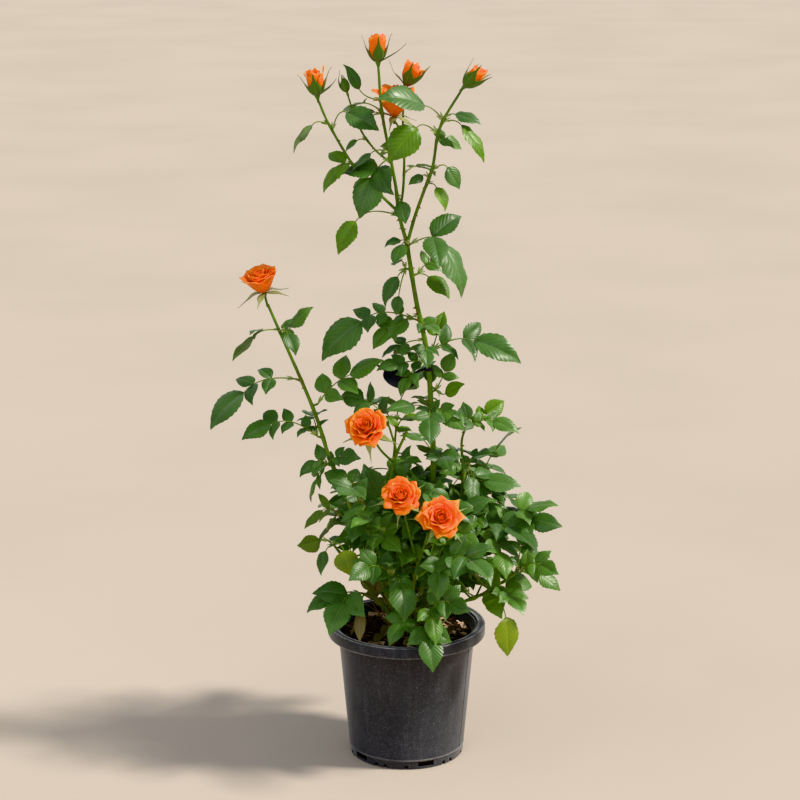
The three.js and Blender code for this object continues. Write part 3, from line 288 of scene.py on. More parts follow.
LEAF_MASSES = {
    "fork_leaves": Mass("main_cane", 824, -60, (
        Leaf((91, -42, 752), 3, 96, 0.9, side=0.72, width=0.88),
        Leaf((-35, -16, 824), 1, 28, 0.3),
    )),
    "high_right_leaves": Mass("main_cane", 777, 0, (
        Leaf((65, -24, 745), 1, 54, 0.2, tone=BACKLIT_LIME),
        Leaf((68, 24, 804), 3, 36, 0.2, tone=MID),
    )),
    "high_left_leaves": Mass("main_cane", 786, 200, (
        Leaf((-35, -18, 732), 1, 54, 0.2),
        Leaf((-24, 28, 790), 1, 28),
        Leaf((-16, -34, 722), 1, 30, 0.6),
    )),
    "middle_left_leaves": Mass("main_cane", 706, 190, (
        Leaf((-132, -38, 650), 7, 88, 0.5, side=0.5),
        Leaf((-52, -30, 668), 3, 40, 0.5, tone=MID),
    )),
    "middle_right_leaves": Mass("main_cane", 657, -15, (
        Leaf((180, -22, 646), 5, 84, 0.3, side=0.76, width=0.82),
        Leaf((58, 28, 716), 3, 32, 0, tone=BACKLIT_LIME),
    )),
    "label_leaves": Mass("main_cane", 640, 210, (
        Leaf((-48, -26, 634), 5, 38, 0.1),
        Leaf((-10, -34, 594), 3, 32, 0.4, tone=MID),
        Leaf((-20, 70, 640), 5, 42),
    )),
    "middle_low_leaves": Mass("main_cane", 592, 20, (
        Leaf((88, -14, 611), 1, 56, -0.3, tone=BACKLIT_LIME),
        Leaf((30, 26, 640), 1, 52, -0.5),
        Leaf((72, 12, 655), 3, 34, -0.1, tone=MID),
    )),
    "whorl_leaves": Mass("main_cane", 560, -110, (
        Leaf((-30, -50, 574), 1, 50, 0.2),
        Leaf((34, -86, 532), 5, 50, 0.4),
        Leaf((90, -52, 545), 5, 50, 0.3, tone=MID),
        Leaf((20, 66, 560), 5, 46),
    )),
    "main_low_leaves": Mass("main_cane", 470, 60, (
        Leaf((120, 66, 470), 5, 50),
        Leaf((-6, 96, 500), 5, 50, tone=MID),
        Leaf((70, -70, 486), 5, 48),
    )),
    "left_top_leaves": Mass("left_cane", 690, -75, (
        Leaf((-146, -14, 734), 3, 54, -0.2, side=0.7, tone=MID),
        Leaf((-170, -40, 660), 1, 44, 0.5),
        Leaf((-270, -18, 648), 3, 52, 0.4, side=0.6, turn=60),
    )),
    "left_high_leaves": Mass("left_cane", 612, 185, (
        Leaf((-302, -36, 538), 5, 80, 0.5, side=0.5),
    )),
    "left_inner_leaves": Mass("left_cane", 572, 10, (
        Leaf((-34, -20, 648), 5, 60, 0.2, side=0.75, tone=MID),
    )),
    "left_middle_leaves": Mass("left_cane", 521, 190, (
        Leaf((-256, -32, 524), 7, 52, 0.5),
        Leaf((-160, 62, 545), 5, 42),
    )),
    "left_low_leaves": Mass("left_cane", 476, 200, (
        Leaf((-168, -28, 464), 3, 50, turn=-20, width=0.95),
        Leaf((-152, 10, 410), 5, 44, 0.5, tone=MID, width=0.58),
        Leaf((-70, -50, 500), 5, 42, 0.2),
    )),
    "right_top_leaves": Mass("right_cane", 536, -20, (
        Leaf((176, -22, 533), 5, 46, 0.3, side=0.75, tone=MID),
        Leaf((156, 30, 570), 5, 42, 0.1, tone=BACKLIT_LIME),
        Leaf((70, -46, 566), 3, 38, 0.2),
    )),
    "right_middle_leaves": Mass("right_cane", 474, -40, (
        Leaf((134, -36, 505), 5, 36, 0.2),
        Leaf((50, -44, 474), 5, 36, 0.2, tone=MID),
        Leaf((180, -14, 444), 3, 62, -0.25),
    )),
}

LEAFY_TWIGS = {
    "right_outer_twig": Twig("right_cane", 330, (150, -34, 372), Ruled(3, 52, 11), (
        Leaf((241, -62, 392), 5, 52),
        Leaf((202, -112, 372), 5, 72),
    )),
    "right_end_twig": Twig("low_right_cane", 302, (178, -68, 322), Ruled(2, 46, 13), (
        Leaf((240, -76, 294), 7, 50, tone=MID),
    )),
    "right_hanging_twig": Twig("low_right_cane", 268, (140, -62, 282), Ruled(2, 48, 13), (
        Leaf((160, -82, 187), 1, 64, 1.6, tone=OLD),
        Leaf((146, -122, 264), 3, 80, turn=40, tone=BACKLIT_LIME),
    )),
    "right_back_twig": Twig("right_cane", 380, (130, 74, 420), Ruled(4, 50, 14)),
    "front_high_twig": Twig("front_cane", 318, (60, -112, 352), Ruled(2, 54, 21), (
        Leaf((46, -146, 302), 3, 54),
    )),
    "front_left_twig": Twig("front_cane", 290, (-26, -104, 330), Ruled(2, 54, 419), (
        Leaf((-28, -142, 355), 3, 54),
        Leaf((-2, -146, 266), 5, 78, side=0.7),
    )),
    "front_low_twig": Twig("front_cane", 250, (34, -92, 262), Ruled(1, 40, 24), (
        Leaf((47, -136, 226), 3, 62, 0.8, side=0.7, tone=MID),
        Leaf((39, -150, 187), 3, 54, 0.5),
        Leaf((-28, -116, 216), 3, 42),
    )),
    "centre_high_twig": Twig("centre_cane", 500, (-30, -44, 556), Ruled(3, 46, 31)),
    "centre_left_twig": Twig("centre_cane", 400, (-74, -62, 432), Ruled(4, 50, 552)),
    "centre_front_twig": Twig("centre_cane", 350, (-34, -84, 392), Ruled(3, 50, 130)),
    "left_side_twig": Twig("left_cane", 360, (-118, -2, 404), None, (
        Leaf((-162, -12, 374), 3, 42, tone=OLIVE, width=0.6),
        Leaf((-126, 30, 352), 3, 36, tone=OLIVE, width=0.6),
    )),
    "left_end_twig": Twig("low_left_cane", 344, (-124, -44, 366), None, (
        Leaf((-172, -42, 356), 1, 46, 0.1, turn=-50, tone=OLIVE, width=1.25),
        Leaf((-85, -84, 320), 1, 42, 0.8, tone=OLD, width=1.3),
        Leaf((-137, -60, 313), 1, 40, 0.6),
    )),
    "left_rim_twig": Twig("low_left_cane", 262, (-84, -60, 284), None, (
        Leaf((-118, -124, 236), 3, 60, 0.4, side=0.95),
        Leaf((-158, -84, 264), 1, 48, 0.2),
        Leaf((-74, -112, 222), 1, 46, 1.2, turn=35, tone=DRY, width=0.62),
    )),
    "left_back_twig": Twig("left_cane", 330, (-98, 72, 372), Ruled(4, 46, 160)),
    "back_high_twig": Twig("back_cane", 466, (-16, 92, 520), Ruled(3, 48, 51)),
    "back_right_twig": Twig("back_cane", 350, (66, 116, 380), Ruled(4, 52, 52)),
    "back_left_twig": Twig("back_cane", 310, (-76, 118, 320), Ruled(4, 52, 53)),
    "back_low_twig": Twig("back_cane", 262, (20, 112, 272), Ruled(3, 50, 54)),
}

STEMS = {**CANES, **FLOWER_SHOOTS}

# Small leaves of the main cane that the part's source doesn't have
FINER_LEAVES = (
    Leaf((-19, -46, 803), 1, 50, 0.3, at=827),
    Leaf((-30, -34, 684), 1, 46, 0.2, at=714, tone=MID),
    Leaf((-40, -12, 652), 3, 34, 0.2, at=676),
    Leaf((52, -34, 690), 3, 36, 0.1, at=700, tone=MID),
    Leaf((30, -40, 640), 3, 32, 0.3, at=664),
)

# The rules of the leaf, as in the part's source
LONGEST_END_LEAFLET = 0.75
STALK_ARCH = 0.45
PAIR_FIRST = 0.3
PAIR_SPACING = 0.76
PAIRS_REACH = 0.8
SMALLEST_SQUEEZE = 0.6
SIDE_ANGLE = radians(60)
SIDE_DROOP = 0.1
SIDE_SHRINK = 0.16
SPUR_LENGTH = 9
SPUR_RISE = 0.35
TWIG_ARCH = 0.12
TWIG_LEAF_FIRST = 0.9
TWIG_LEAF_STEP = 0.2
STALK_RADII = (1.25, 0.75)
SPUR_RADII = (2.2, 1.6)
TWIG_RADII = (2.1, 1.4)
SPRAY_RADII = (1.7, 1.1)
RULED_FIRST = 0.35
RULED_TONES = {DEEP: 6, MID: 4, BACKLIT_LIME: 0.4}

# The finer twigs of the crown, which only this script grows
SPRAY_LEAVES = 4
SPRAY_FIRST = 0.4
SPRAY_LEAFLETS = {3: 1, 5: 3, 7: 1}

# The blooms, the label and the open soil, which no finer leaf hides: a middle and a radius
SIGHTS = (
    ((-66, -84, 556), 32),
    ((-12, -122, 466), 30),
    ((56, -132, 434), 34),
    ((-12, 14, 612), 28),
    ((-46, -80, 272), 44),
)


def unit(vector: Array) -> Array:
    """The same direction with a length of one."""
    return vector / np.linalg.norm(vector)


def smooth(edge0: float, edge1: float, value: Array | float) -> Array | float:
    """A smooth step from 0 at edge0 to 1 at edge1."""
    t = np.clip((value - edge0) / (edge1 - edge0), 0, 1)
    return t * t * (3 - 2 * t)


def frame_of(heading: Array, face: Array) -> tuple[Array, Array, Array]:
    """The along, up and side directions of something that points along heading and faces face.

    Args:
        heading: the way it points.
        face: the way its upper side faces.

    Returns:
        Three directions at right angles, each of length one.
    """
    along = unit(heading)
    up = unit(face - along * face.dot(along))
    return along, up, np.cross(up, along)


def turned_about(vector: Array, axis: Array, angle: float) -> Array:
    """A vector turned about an axis by an angle in radians."""
    return np.array(Matrix.Rotation(angle, 3, Vector(axis)) @ Vector(vector))


def heading_at(angle: float, rise: float = 0.0) -> Array:
    """The level direction at an angle from +X in radians, with a rise added."""
    return np.array((cos(angle), sin(angle), rise))


def round_twig(along: Array, angle: float) -> Array:
    """A direction across a twig, at an angle round it, that tends to its sides."""
    across = unit(np.cross(along, UP))
    return across * cos(angle) + np.cross(across, along) * sin(angle) * 0.6


class Seeded:
    """A repeatable source of numbers from 0 to 1, the one in the part's source."""

    def __init__(self, seed: int) -> None:
        """Starts from a whole number."""
        self.state = seed & WORD

    def __call__(self) -> float:
        """The next number.

        Returns:
            A number from 0 up to 1.
        """
        self.state = (self.state + 0x6D2B79F5) & WORD
        t = self.state
        t = ((t ^ (t >> 15)) * (t | 1)) & WORD
        t ^= (t + (((t ^ (t >> 7)) * (t | 61)) & WORD)) & WORD
        return ((t ^ (t >> 14)) & WORD) / (WORD + 1)

    def between(self, low: float, high: float) -> float:
        """The next number, spread from low to high."""
        return low + (high - low) * self()

    def pick(self, choices: dict) -> object:
        """One of the keys of choices, each as likely as its value says.

        Args:
            choices: the weight of each key.

        Returns:
            The key.
        """
        left = self() * sum(choices.values())
        for choice, weight in choices.items():
            left -= weight
            if left <= 0:
                return choice
        return choice


class Route:
    """A smooth route through a few points, in millimetres."""

    def __init__(self, points: tuple[Point, ...] | Array) -> None:
        """Keeps the points, with one more beyond each end.

        Args:
            points: what the route goes through, from its start to its end.
        """
        self.points = np.array(points, float)
        first = 2 * self.points[0] - self.points[1]
        last = 2 * self.points[-1] - self.points[-2]
        self.padded = np.vstack([first, self.points, last])

    def at(self, shares: Array) -> Array:
        """The points at an array of shares of the route.

        Args:
            shares: from 0 at the start to 1 at the end.

        Returns:
            A point for each share.
        """
        spans = len(self.points) - 1
        place = np.clip(shares, 0, 1) * spans
        span = np.minimum(place.astype(int), spans - 1)
        t = (place - span)[:, None]
        before, start, end, after = (self.padded[span + k] for k in range(4))
        leave = TENSION * (end - before)
        arrive = TENSION * (after - start)
        bend = 3 * (end - start) - 2 * leave - arrive
        return start + leave * t + bend * t**2 + (2 * (start - end) + leave + arrive) * t**3

    def point(self, share: float) -> Array:
        """The point at one share of the route."""
        return self.at(np.array([share]))[0]

    def tangent(self, share: float) -> Array:
        """The direction of the route at a share of it."""
        low, high = max(0.0, share - 1e-4), min(1.0, share + 1e-4)
        return unit(self.point(high) - self.point(low))

    def length(self) -> float:
        """The route's length."""
        return float(np.linalg.norm(np.diff(self.at(np.linspace(0, 1, 60)), axis=0), axis=1).sum())

    def share_at_height(self, height: float) -> float:
        """Where along a rising route a height is reached.

        Args:
            height: the height, in millimetres.

        Returns:
            The share of the route.
        """
        low, high = 0.0, 1.0
        for _ in range(30):
            middle = (low + high) / 2
            if self.point(middle)[2] < height:
                low = middle
            else:
                high = middle
        return low

    def spaced(self, count: int) -> Array:
        """Points at equal distances along the route.

        Args:
            count: how many.

        Returns:
            The points, from the start to the end.
        """
        shares = np.linspace(0, 1, 120)
        points = self.at(shares)
        run = np.concatenate([[0], np.cumsum(np.linalg.norm(np.diff(points, axis=0), axis=1))])
        return self.at(np.interp(np.linspace(0, run[-1], count), run, shares))


class Arch(Route):
    """A quadratic curve from start to end that bends towards a middle point."""

    def at(self, shares: Array) -> Array:
        """The points at an array of shares of the curve.

        Args:
            shares: from 0 at the start to 1 at the end.

        Returns:
            A point for each share.
        """
        t = np.asarray(shares, float)[:, None]
        start, bend, end = self.points
        return (1 - t) ** 2 * start + 2 * (1 - t) * t * bend + t**2 * end


def twig_arch(start: Array, end: Array) -> Arch:
    """A twig's line, which bends a little upwards."""
    return Arch((start, (start + end) / 2 + UP * TWIG_ARCH * np.linalg.norm(end - start), end))


@dataclass(frozen=True)
class Blade:
    """A leaflet, sepal or stipule: where it starts, the way it points, the way its upper side faces."""

    root: Array
    heading: Array
    face: Array
    length: float
    curl: float = 0.22
    fold: float = 0.26
    width: float = 1.0


@dataclass(frozen=True)
class BladeShape:
    """The outline of a blade, with half widths as a share of the length, and how it curves.

    Args:
        outline: pairs of a share along and the half width there.
        teeth: how many teeth each side has.
        tooth: how far a tooth stands out, as a share of the length.
        thick: the thickness at the midrib, in millimetres.
        spine: how many points the midrib has.
        lobe: how many points run between the midrib and each edge.
        sag: how far the edges bend down.
        swell: how far the blade rises between the midrib and each edge.
    """

    outline: tuple[tuple[float, float], ...]
    teeth: int
    tooth: float
    thick: float
    spine: int = 6
    lobe: int = 4
    sag: float = 0.7
    swell: float = 0.022

    def half_width(self, share: Array) -> Array:
        """The half width at a share of the length."""
        along, widths = zip(*self.outline)
        return np.interp(share, along, widths)

    def rim(self) -> tuple[Array, Array]:
        """The places and half widths of one edge's points, from the root to just short of the tip.

        Returns:
            Shares of the length, and half widths on a length of one.
        """
        steps = np.arange(self.teeth)
        valleys = (steps + 0.25) / (self.teeth + 0.4)
        peaks = (steps + 1.05) / (self.teeth + 0.4)
        places = np.concatenate([[0.0], np.stack([valleys, peaks], axis=1).ravel()])
        widths = self.half_width(places)
        widths[2::2] += self.tooth * (1 - 0.5 * peaks)
        return places, widths

    def template(self) -> tuple[Array, Array, Array]:
        """The blade on a length of one, as every blade of the shape repeats it.

        Returns:
            Five numbers for each point: its place along and across, 1 or -1 on the upper or under side, 1
            where the blade swells, and 1 on the edge or 2 on the midrib, which keep a crease. Then the
            faces, and for each face 1 if it is on the under side.
        """
        places, edge = self.rim()
        spine = np.arange(self.spine) / self.spine
        lobe = (np.arange(self.lobe) + 0.55) / (self.lobe + 0.45)
        inside = self.half_width(lobe) * 0.52
        chains = [
            [(u, 0, 1, 0, 2) for u in spine],
            [(u, 0, -1, 0, 0) for u in (0.0, 0.5)],
            [(u, v, 1, 1, 0) for u, v in zip(lobe, inside)],
            [(u, -v, 1, 1, 0) for u, v in zip(lobe, inside)],
            [(u, v, 0, 0, 1) for u, v in zip(places, edge)],
            [(u, -v, 0, 0, 1) for u, v in zip(places, edge)],
        ]
        points = np.array([*sum(chains, []), (1, 0, 0, 0, 1)], float)
        starts = np.cumsum([0] + [len(chain) for chain in chains])
        top, below, left_lobe, right_lobe, left, right = (
            [*range(first, last), len(points) - 1] for first, last in zip(starts, starts[1:])
        )
        upper = [(top[0], left_lobe[0], left[0]), (top[0], right[0], right_lobe[0])]
        for inner, outer, flip in ((top, left_lobe, True), (left_lobe, left, True),
                                   (top, right_lobe, False), (right_lobe, right, False)):
            upper += zipped(inner, outer, points[:, 0], flip)
        lower = zipped(below, left, points[:, 0], False) + zipped(below, right, points[:, 0], True)
        lower += [(top[0], left[0], below[0]), (top[0], below[0], right[0])]
        return points, np.array(upper + lower), np.array([0.0] * len(upper) + [1.0] * len(lower))


def zipped(spine: list[int], rim: list[int], along: Array, flip: bool) -> list[tuple[int, int, int]]:
    """The triangles between two chains of points that meet in their last point.

    Args:
        spine: the numbers of the points of the inner chain.
        rim: those of the outer chain.
        along: how far along the blade each point is.
        flip: whether the triangles face the other way.

    Returns:
        The three points of each triangle.
    """
    faces = []
    i = j = 0
    while i < len(spine) - 1 or j < len(rim) - 1:
        rim_next = along[rim[j + 1]] if j < len(rim) - 1 else 2.0
        spine_next = along[spine[i + 1]] if i < len(spine) - 1 else 2.0
        if rim_next <= spine_next:
            face = (spine[i], rim[j], rim[j + 1])
            j += 1
        else:
            face = (spine[i], rim[j], spine[i + 1])
            i += 1
        if len(set(face)) == 3:
            faces.append(face[::-1] if flip else face)
    return faces


LEAFLET = BladeShape(
    (
        (0, 0.012), (0.04, 0.11), (0.1, 0.2), (0.2, 0.285), (0.34, 0.33), (0.48, 0.32), (0.62, 0.268),
        (0.74, 0.19), (0.84, 0.112), (0.93, 0.042), (1, 0),
    ),
    teeth=8, tooth=0.026, thick=0.5,
)
STIPULE = BladeShape(
    ((0, 0.05), (0.3, 0.16), (0.7, 0.12), (1, 0)), teeth=2, tooth=0.02, thick=0.5, spine=2, lobe=1,
)


def new_object(name: str, data: bpy.types.ID) -> Object:
    """A new object in the scene, with its mesh, curve, lamp or camera.

    Args:
        name: its name.
        data: what it shows.

    Returns:
        The object.
    """
    obj = bpy.data.objects.new(name, data)
    bpy.context.scene.collection.objects.link(obj)
    return obj


def mesh_object(name: str, points: Array, faces: list) -> Object:
    """A smooth-shaded mesh object.

    Args:
        name: the piece's name.
        points: its points, in millimetres.
        faces: the points of each face.

    Returns:
        The object.
    """
    mesh = bpy.data.meshes.new(name)
    mesh.from_pydata((points * MM).tolist(), [], faces)
    mesh.polygons.foreach_set("use_smooth", np.ones(len(mesh.polygons), bool))
    return new_object(name, mesh)


def bmesh_object(name: str, work: bmesh.types.BMesh) -> Object:
    """The mesh object of a finished bmesh, which it frees.

    Args:
        name: the piece's name.
        work: the bmesh.

    Returns:
        The object.
    """
    mesh = bpy.data.meshes.new(name)
    work.to_mesh(mesh)
    work.free()
    return new_object(name, mesh)


def face_values(mesh: Mesh, name: str, values: Array) -> None:
    """Gives each face of a mesh a number that its material reads by name."""
    mesh.attributes.new(name, "FLOAT", "FACE").data.foreach_set("value", values.astype(np.float32))


def crease_chains(mesh: Mesh, chain: Array) -> None:
    """Keeps a crease along each mesh edge whose two points are in the same chain.

    Args:
        mesh: the mesh.
        chain: for each point its chain's number, or 0 for none.
    """
    ends = np.zeros(len(mesh.edges) * 2, np.int32)
    mesh.edges.foreach_get("vertices", ends)
    first, second = chain[ends.reshape(-1, 2)].T
    creases = mesh.attributes.new("sharp_edge", "BOOLEAN", "EDGE")
    creases.data.foreach_set("value", (first == second) & (first > 0))


def blades_object(name: str, shape: BladeShape, blades: list[Blade], seed: int) -> Object:
    """All blades of one kind as one mesh, with a UV map along and across each blade.

    Args:
        name: the piece's name.
        shape: the outline of each blade.
        blades: where the blades are.
        seed: starts the small differences between them.

    Returns:
        The mesh object, whose faces carry the values "shade" and "under".
    """
    template, sides, is_under = shape.template()
    count = len(blades)
    random = np.random.default_rng(seed)

    def spread(low: float, high: float) -> Array:
        """A number for each blade, between low and high."""
        return random.uniform(low, high, (count, 1))

    root = np.array([b.root for b in blades])
    frames = [frame_of(b.heading, b.face) for b in blades]
    along, up, side = (np.array([f[k] for f in frames]) for k in range(3))
    sizes = np.array([(b.length, b.width, b.fold, b.curl) for b in blades])
    length, width, fold, curl = sizes.T[..., None]
    width, fold, curl = width * spread(0.9, 1.1), fold * spread(0.2, 1.8), curl * spread(0.2, 1.8)
    twist, bend, phase = spread(-0.45, 0.45), spread(-0.1, 0.1), spread(0, 1)
    wave, hook = spread(0.004, 0.024), spread(0.2, 1.6)
    u, v, rise, bulge, chain = template.T
    x = length * (u - 0.2 * curl**2 * u)
    y = length * (v * width + bend * (u**2 - u))
    z = curl * length * (u - u**2) - hook * shape.sag * length * np.maximum(0, u - 0.72) ** 2
    z = z + length * (fold * np.abs(v * width) - shape.sag * v**2 + shape.swell * bulge)
    z = z + length * wave * np.sin(2 * pi * (2.2 * u + phase)) * np.minimum(1, np.abs(v) * 4)
    z = z + rise * shape.thick / 2
    turn = twist * u
    y, z = y * np.cos(turn) - z * np.sin(turn), y * np.sin(turn) + z * np.cos(turn)
    points = root[:, None] + along[:, None] * x[..., None] + side[:, None] * y[..., None]
    points = points + up[:, None] * z[..., None]
    starts = np.arange(count)[:, None, None] * len(template)
    obj = mesh_object(name, points.reshape(-1, 3), (sides + starts).reshape(-1, 3).tolist())
    layer = obj.data.uv_layers.new(name="blade")
    flat_uv = np.stack([u, 0.5 + v * UV_ACROSS], axis=1)
    layer.data.foreach_set("uv", np.tile(flat_uv[sides.ravel()], (count, 1)).ravel())
    face_values(obj.data, "under", np.tile(is_under, count))
    face_values(obj.data, "shade", np.repeat(random.uniform(0, 1, count), len(sides)))
    crease_chains(obj.data, np.tile(chain, count))
    return obj


def tubes_object(name: str, tubes: list[Tube], sides: int) -> Object:
    """Many thin tubes as one mesh.

    Args:
        name: the piece's name.
        tubes: for each tube its middle line, and its radius at the start and at the end.
        sides: how many sides each tube has.

    Returns:
        The mesh object.
    """
    points: list[Array] = []
    faces: list[list[int]] = []
    angles = np.arange(sides) / sides * 2 * pi
    start = 0
    for line, foot, tip in tubes:
        along = np.gradient(line, axis=0)
        along /= np.linalg.norm(along, axis=1)[:, None]
        side = unit(np.cross(along[0], UP if abs(along[0][2]) < 0.9 else FRONT))
        for way, middle, radius in zip(along, line, np.linspace(foot, tip, len(line))):
            side = unit(side - way * side.dot(way))
            ring = np.outer(np.cos(angles), side) + np.outer(np.sin(angles), np.cross(way, side))
            points.append(middle + ring * radius)
        rings = np.arange(start, start + len(line) * sides).reshape(-1, sides)
        after = np.roll(rings, -1, axis=1)
        quads = np.stack([rings[:-1], after[:-1], after[1:], rings[1:]], axis=-1)
        faces += quads.reshape(-1, 4).tolist() + [rings[0, ::-1].tolist(), rings[-1].tolist()]
        start += rings.size
    return mesh_object(name, np.vstack(points), faces)


def swept_object(name: str, line: Array, radii: Array) -> Object:
    """One tube with a radius of its own at each point.

    Args:
        name: the piece's name.
        line: the points of its middle line, in millimetres.
        radii: the radius at each.

    Returns:
        The mesh object.
    """
    curve = bpy.data.curves.new(name, "CURVE")
    curve.dimensions = "3D"
    curve.bevel_depth = MM
    curve.bevel_resolution = 4
    curve.use_fill_caps = True
    spline = curve.splines.new("POLY")
    spline.points.add(len(line) - 1)
    for point, place, radius in zip(spline.points, line * MM, radii):
        point.co = (*place, 1)
        point.radius = radius
    source = new_object(name + "_line", curve)
    graph = bpy.context.evaluated_depsgraph_get()
    mesh = bpy.data.meshes.new_from_object(source.evaluated_get(graph))
    bpy.data.objects.remove(source)
    mesh.name = name
    merge(mesh)
    return new_object(name, mesh)


def merge(mesh: Mesh, distance: float = 1e-6) -> None:
    """Merges points that lie together, turns every face outwards and shades the mesh smooth.

    Args:
        mesh: the mesh.
        distance: how close points lie together, in metres.
    """
    work = bmesh.new()
    work.from_mesh(mesh)
    bmesh.ops.remove_doubles(work, verts=work.verts, dist=distance)
    bmesh.ops.recalc_face_normals(work, faces=work.faces)
    for face in work.faces:
        face.smooth = True
    work.to_mesh(mesh)
    work.free()


def turned_object(name: str, profile: list[tuple[float, float]], steps: int) -> Object:
    """A closed body turned about the Z axis.

    Args:
        name: the piece's name.
        profile: pairs of a radius and a height, in millimetres.
        steps: how many sides the body has.

    Returns:
        The mesh object.
    """
    work = bmesh.new()
    points = [work.verts.new((radius * MM, 0, height * MM)) for radius, height in profile]
    edges = [work.edges.new(pair) for pair in zip(points, points[1:])]
    bmesh.ops.spin(
        work, geom=points + edges, cent=(0, 0, 0), axis=(0, 0, 1), angle=2 * pi, steps=steps, use_merge=True,
    )
    obj = bmesh_object(name, work)
    merge(obj.data)
    return obj


def place(obj: Object, slot: str, nodes: list[str], material: Material) -> None:
    """Finishes a piece, which rides on the one body.

    Args:
        obj: the piece.
        slot: the piece's slot, which is not used.
        nodes: the solids that it stands for.
        material: its only material.
    """
    obj.data.materials.clear()
    obj.data.materials.append(material)
    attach(obj, "root")
    if nodes:
        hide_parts(*nodes)
    LOG.info("%s: %d faces", obj.name, len(obj.data.polygons))


class Growth:
    """Everything that grows from the canes, by the rules of the part's source, and the finer sprays."""

    def __init__(self) -> None:
        """Sets out the canes and shoots, which grow puts leaves on."""
        self.random = Seeded(7)
        self.limbs = {name: Route(stem.route) for name, stem in STEMS.items()}
        self.stalks: list[Tube] = []
        self.twigs: list[Tube] = []
        self.blades: dict[Tone, list[Blade]] = defaultdict(list)
        self.stipules: list[Blade] = []
        self.axils: dict[str, list[float]] = defaultdict(list)

    def branch(self, name: str, height: float) -> Array:
        """The point of a cane or shoot at a height, where a knuckle is kept for what leaves it.

        Args:
            name: the cane or shoot.
            height: the height.

        Returns:
            The point.
        """
        share = self.limbs[name].share_at_height(height)
        self.axils[name].append(share)
        return self.limbs[name].point(share)

    def face(self, tip: Array) -> Array:
        """The way a leaf's upper side faces: up, outwards, and to the front on the front half.

        Args:
            tip: the leaf's tip.

        Returns:
            The direction.
        """
        face = 0.8 * UP + 0.3 * unit(np.array((tip[0], tip[1], 0)))
        if tip[1] < 45:
            face = face + 0.55 * FRONT
        return unit(face)

    def compound(self, root: Array, leaf: Leaf, roll: float = 0.0) -> tuple[Arch, list[Blade]]:
        """A leaf's arching stalk and its leaflets, by the source's rule.

        Args:
            root: where the leaf leaves its limb.
            leaf: the leaf's row.
            roll: a further turn about the leaf's own line, in radians.

        Returns:
            The stalk's curve, and the leaflets with the end one first.
        """
        tip = np.array(leaf.tip, float)
        chord = tip - root
        reach = float(np.linalg.norm(chord))
        size = min(leaf.size, reach * LONGEST_END_LEAFLET)
        heading = unit(chord / reach - leaf.droop * UP)
        end = tip - heading * size
        bend = end - heading * STALK_ARCH * np.linalg.norm(end - root)
        curve = Arch((root, bend, end))
        face = turned_about(self.face(tip), heading, radians(leaf.turn) + roll)
        blades = [Blade(end, heading, face, size, fold=leaf.fold, width=leaf.width)]
        pairs = (leaf.leaflets - 1) // 2
        stalk = curve.length()
        wanted = size * (PAIR_FIRST + PAIR_SPACING * leaf.side * (pairs - 1))
        squeeze = min(1.0, stalk * PAIRS_REACH / max(wanted, 1.0))
        for pair in range(pairs):
            share = 1 - size * squeeze * (PAIR_FIRST + PAIR_SPACING * leaf.side * pair) / stalk
            along, _, across = frame_of(curve.tangent(share), face)
            length = size * leaf.side * max(squeeze, SMALLEST_SQUEEZE) * (1 - SIDE_SHRINK * pair)
            for sign in (1, -1):
                way = along * cos(SIDE_ANGLE) + across * sign * sin(SIDE_ANGLE) - UP * SIDE_DROOP
                blades.append(replace(blades[0], root=curve.point(share), heading=unit(way), length=length))
        return curve, blades

    def add_leaf(self, root: Array, leaf: Leaf, roll: float = 0.0) -> None:
        """Grows one leaf: its stalk, its stipules and its leaflets.

        Args:
            root: where the leaf leaves its limb.
            leaf: the leaf's row.
            roll: a further turn about the leaf's own line, in radians.
        """
        curve, blades = self.compound(root, leaf, roll)
        self.stalks.append((curve.spaced(8), *STALK_RADII))
        along, up, side = frame_of(curve.tangent(0.05), blades[0].face)
        for sign in (1, -1):
            way = along + side * sign * 0.35
            self.stipules.append(Blade(curve.point(0.02), way, up, 9 + leaf.size * 0.06))
        for blade in blades:
            self.blades[leaf.tone].append(self.varied(blade))

    def varied(self, blade: Blade) -> Blade:
        """A leaflet turned a little from its rule, as no two lie alike.

        Args:
            blade: the leaflet by its rule.

        Returns:
            The leaflet, turned.
        """
        heading = unit(blade.heading + 0.1 * np.array([self.random() - 0.5 for _ in range(3)]))
        face = turned_about(blade.face, heading, self.random.between(-0.35, 0.35))
        return replace(blade, heading=heading, face=face)

    def grow(self) -> None:
        """Grows every leaf of the source, and then the finer sprays of the crown."""
        for name, shoot in FLOWER_SHOOTS.items():
            self.along(name, shoot.leaves)
        for mass in LEAF_MASSES.values():
            start = self.branch(mass.on, mass.at)
            end = start + SPUR_LENGTH * heading_at(radians(mass.heading), SPUR_RISE)
            self.twigs.append((np.linspace(start, end, 3), *SPUR_RADII))
            for leaf in mass.leaves:
                self.add_leaf(end, leaf)
        for twig in LEAFY_TWIGS.values():
            curve = twig_arch(self.branch(twig.on, twig.at), np.array(twig.tip, float))
            self.twigs.append((curve.spaced(9), *TWIG_RADII))
            for i, leaf in enumerate(twig.leaves):
                self.add_leaf(curve.point(TWIG_LEAF_FIRST - TWIG_LEAF_STEP * i), leaf)
            for root, leaf in self.ruled(curve, twig.ruled) if twig.ruled else ():
                if not hides(np.array(leaf.tip), leaf.size):
                    self.add_leaf(root, leaf, self.random.between(-0.4, 0.4))
        for crown in (CROWN, SKIRT):
            self.fill(crown)
        self.along("main_cane", FINER_LEAVES)

    def along(self, name: str, leaves: tuple[Leaf, ...]) -> None:
        """Grows leaves straight from a cane or shoot, each at its own height."""
        for leaf in leaves:
            self.add_leaf(self.branch(name, leaf.at), leaf)

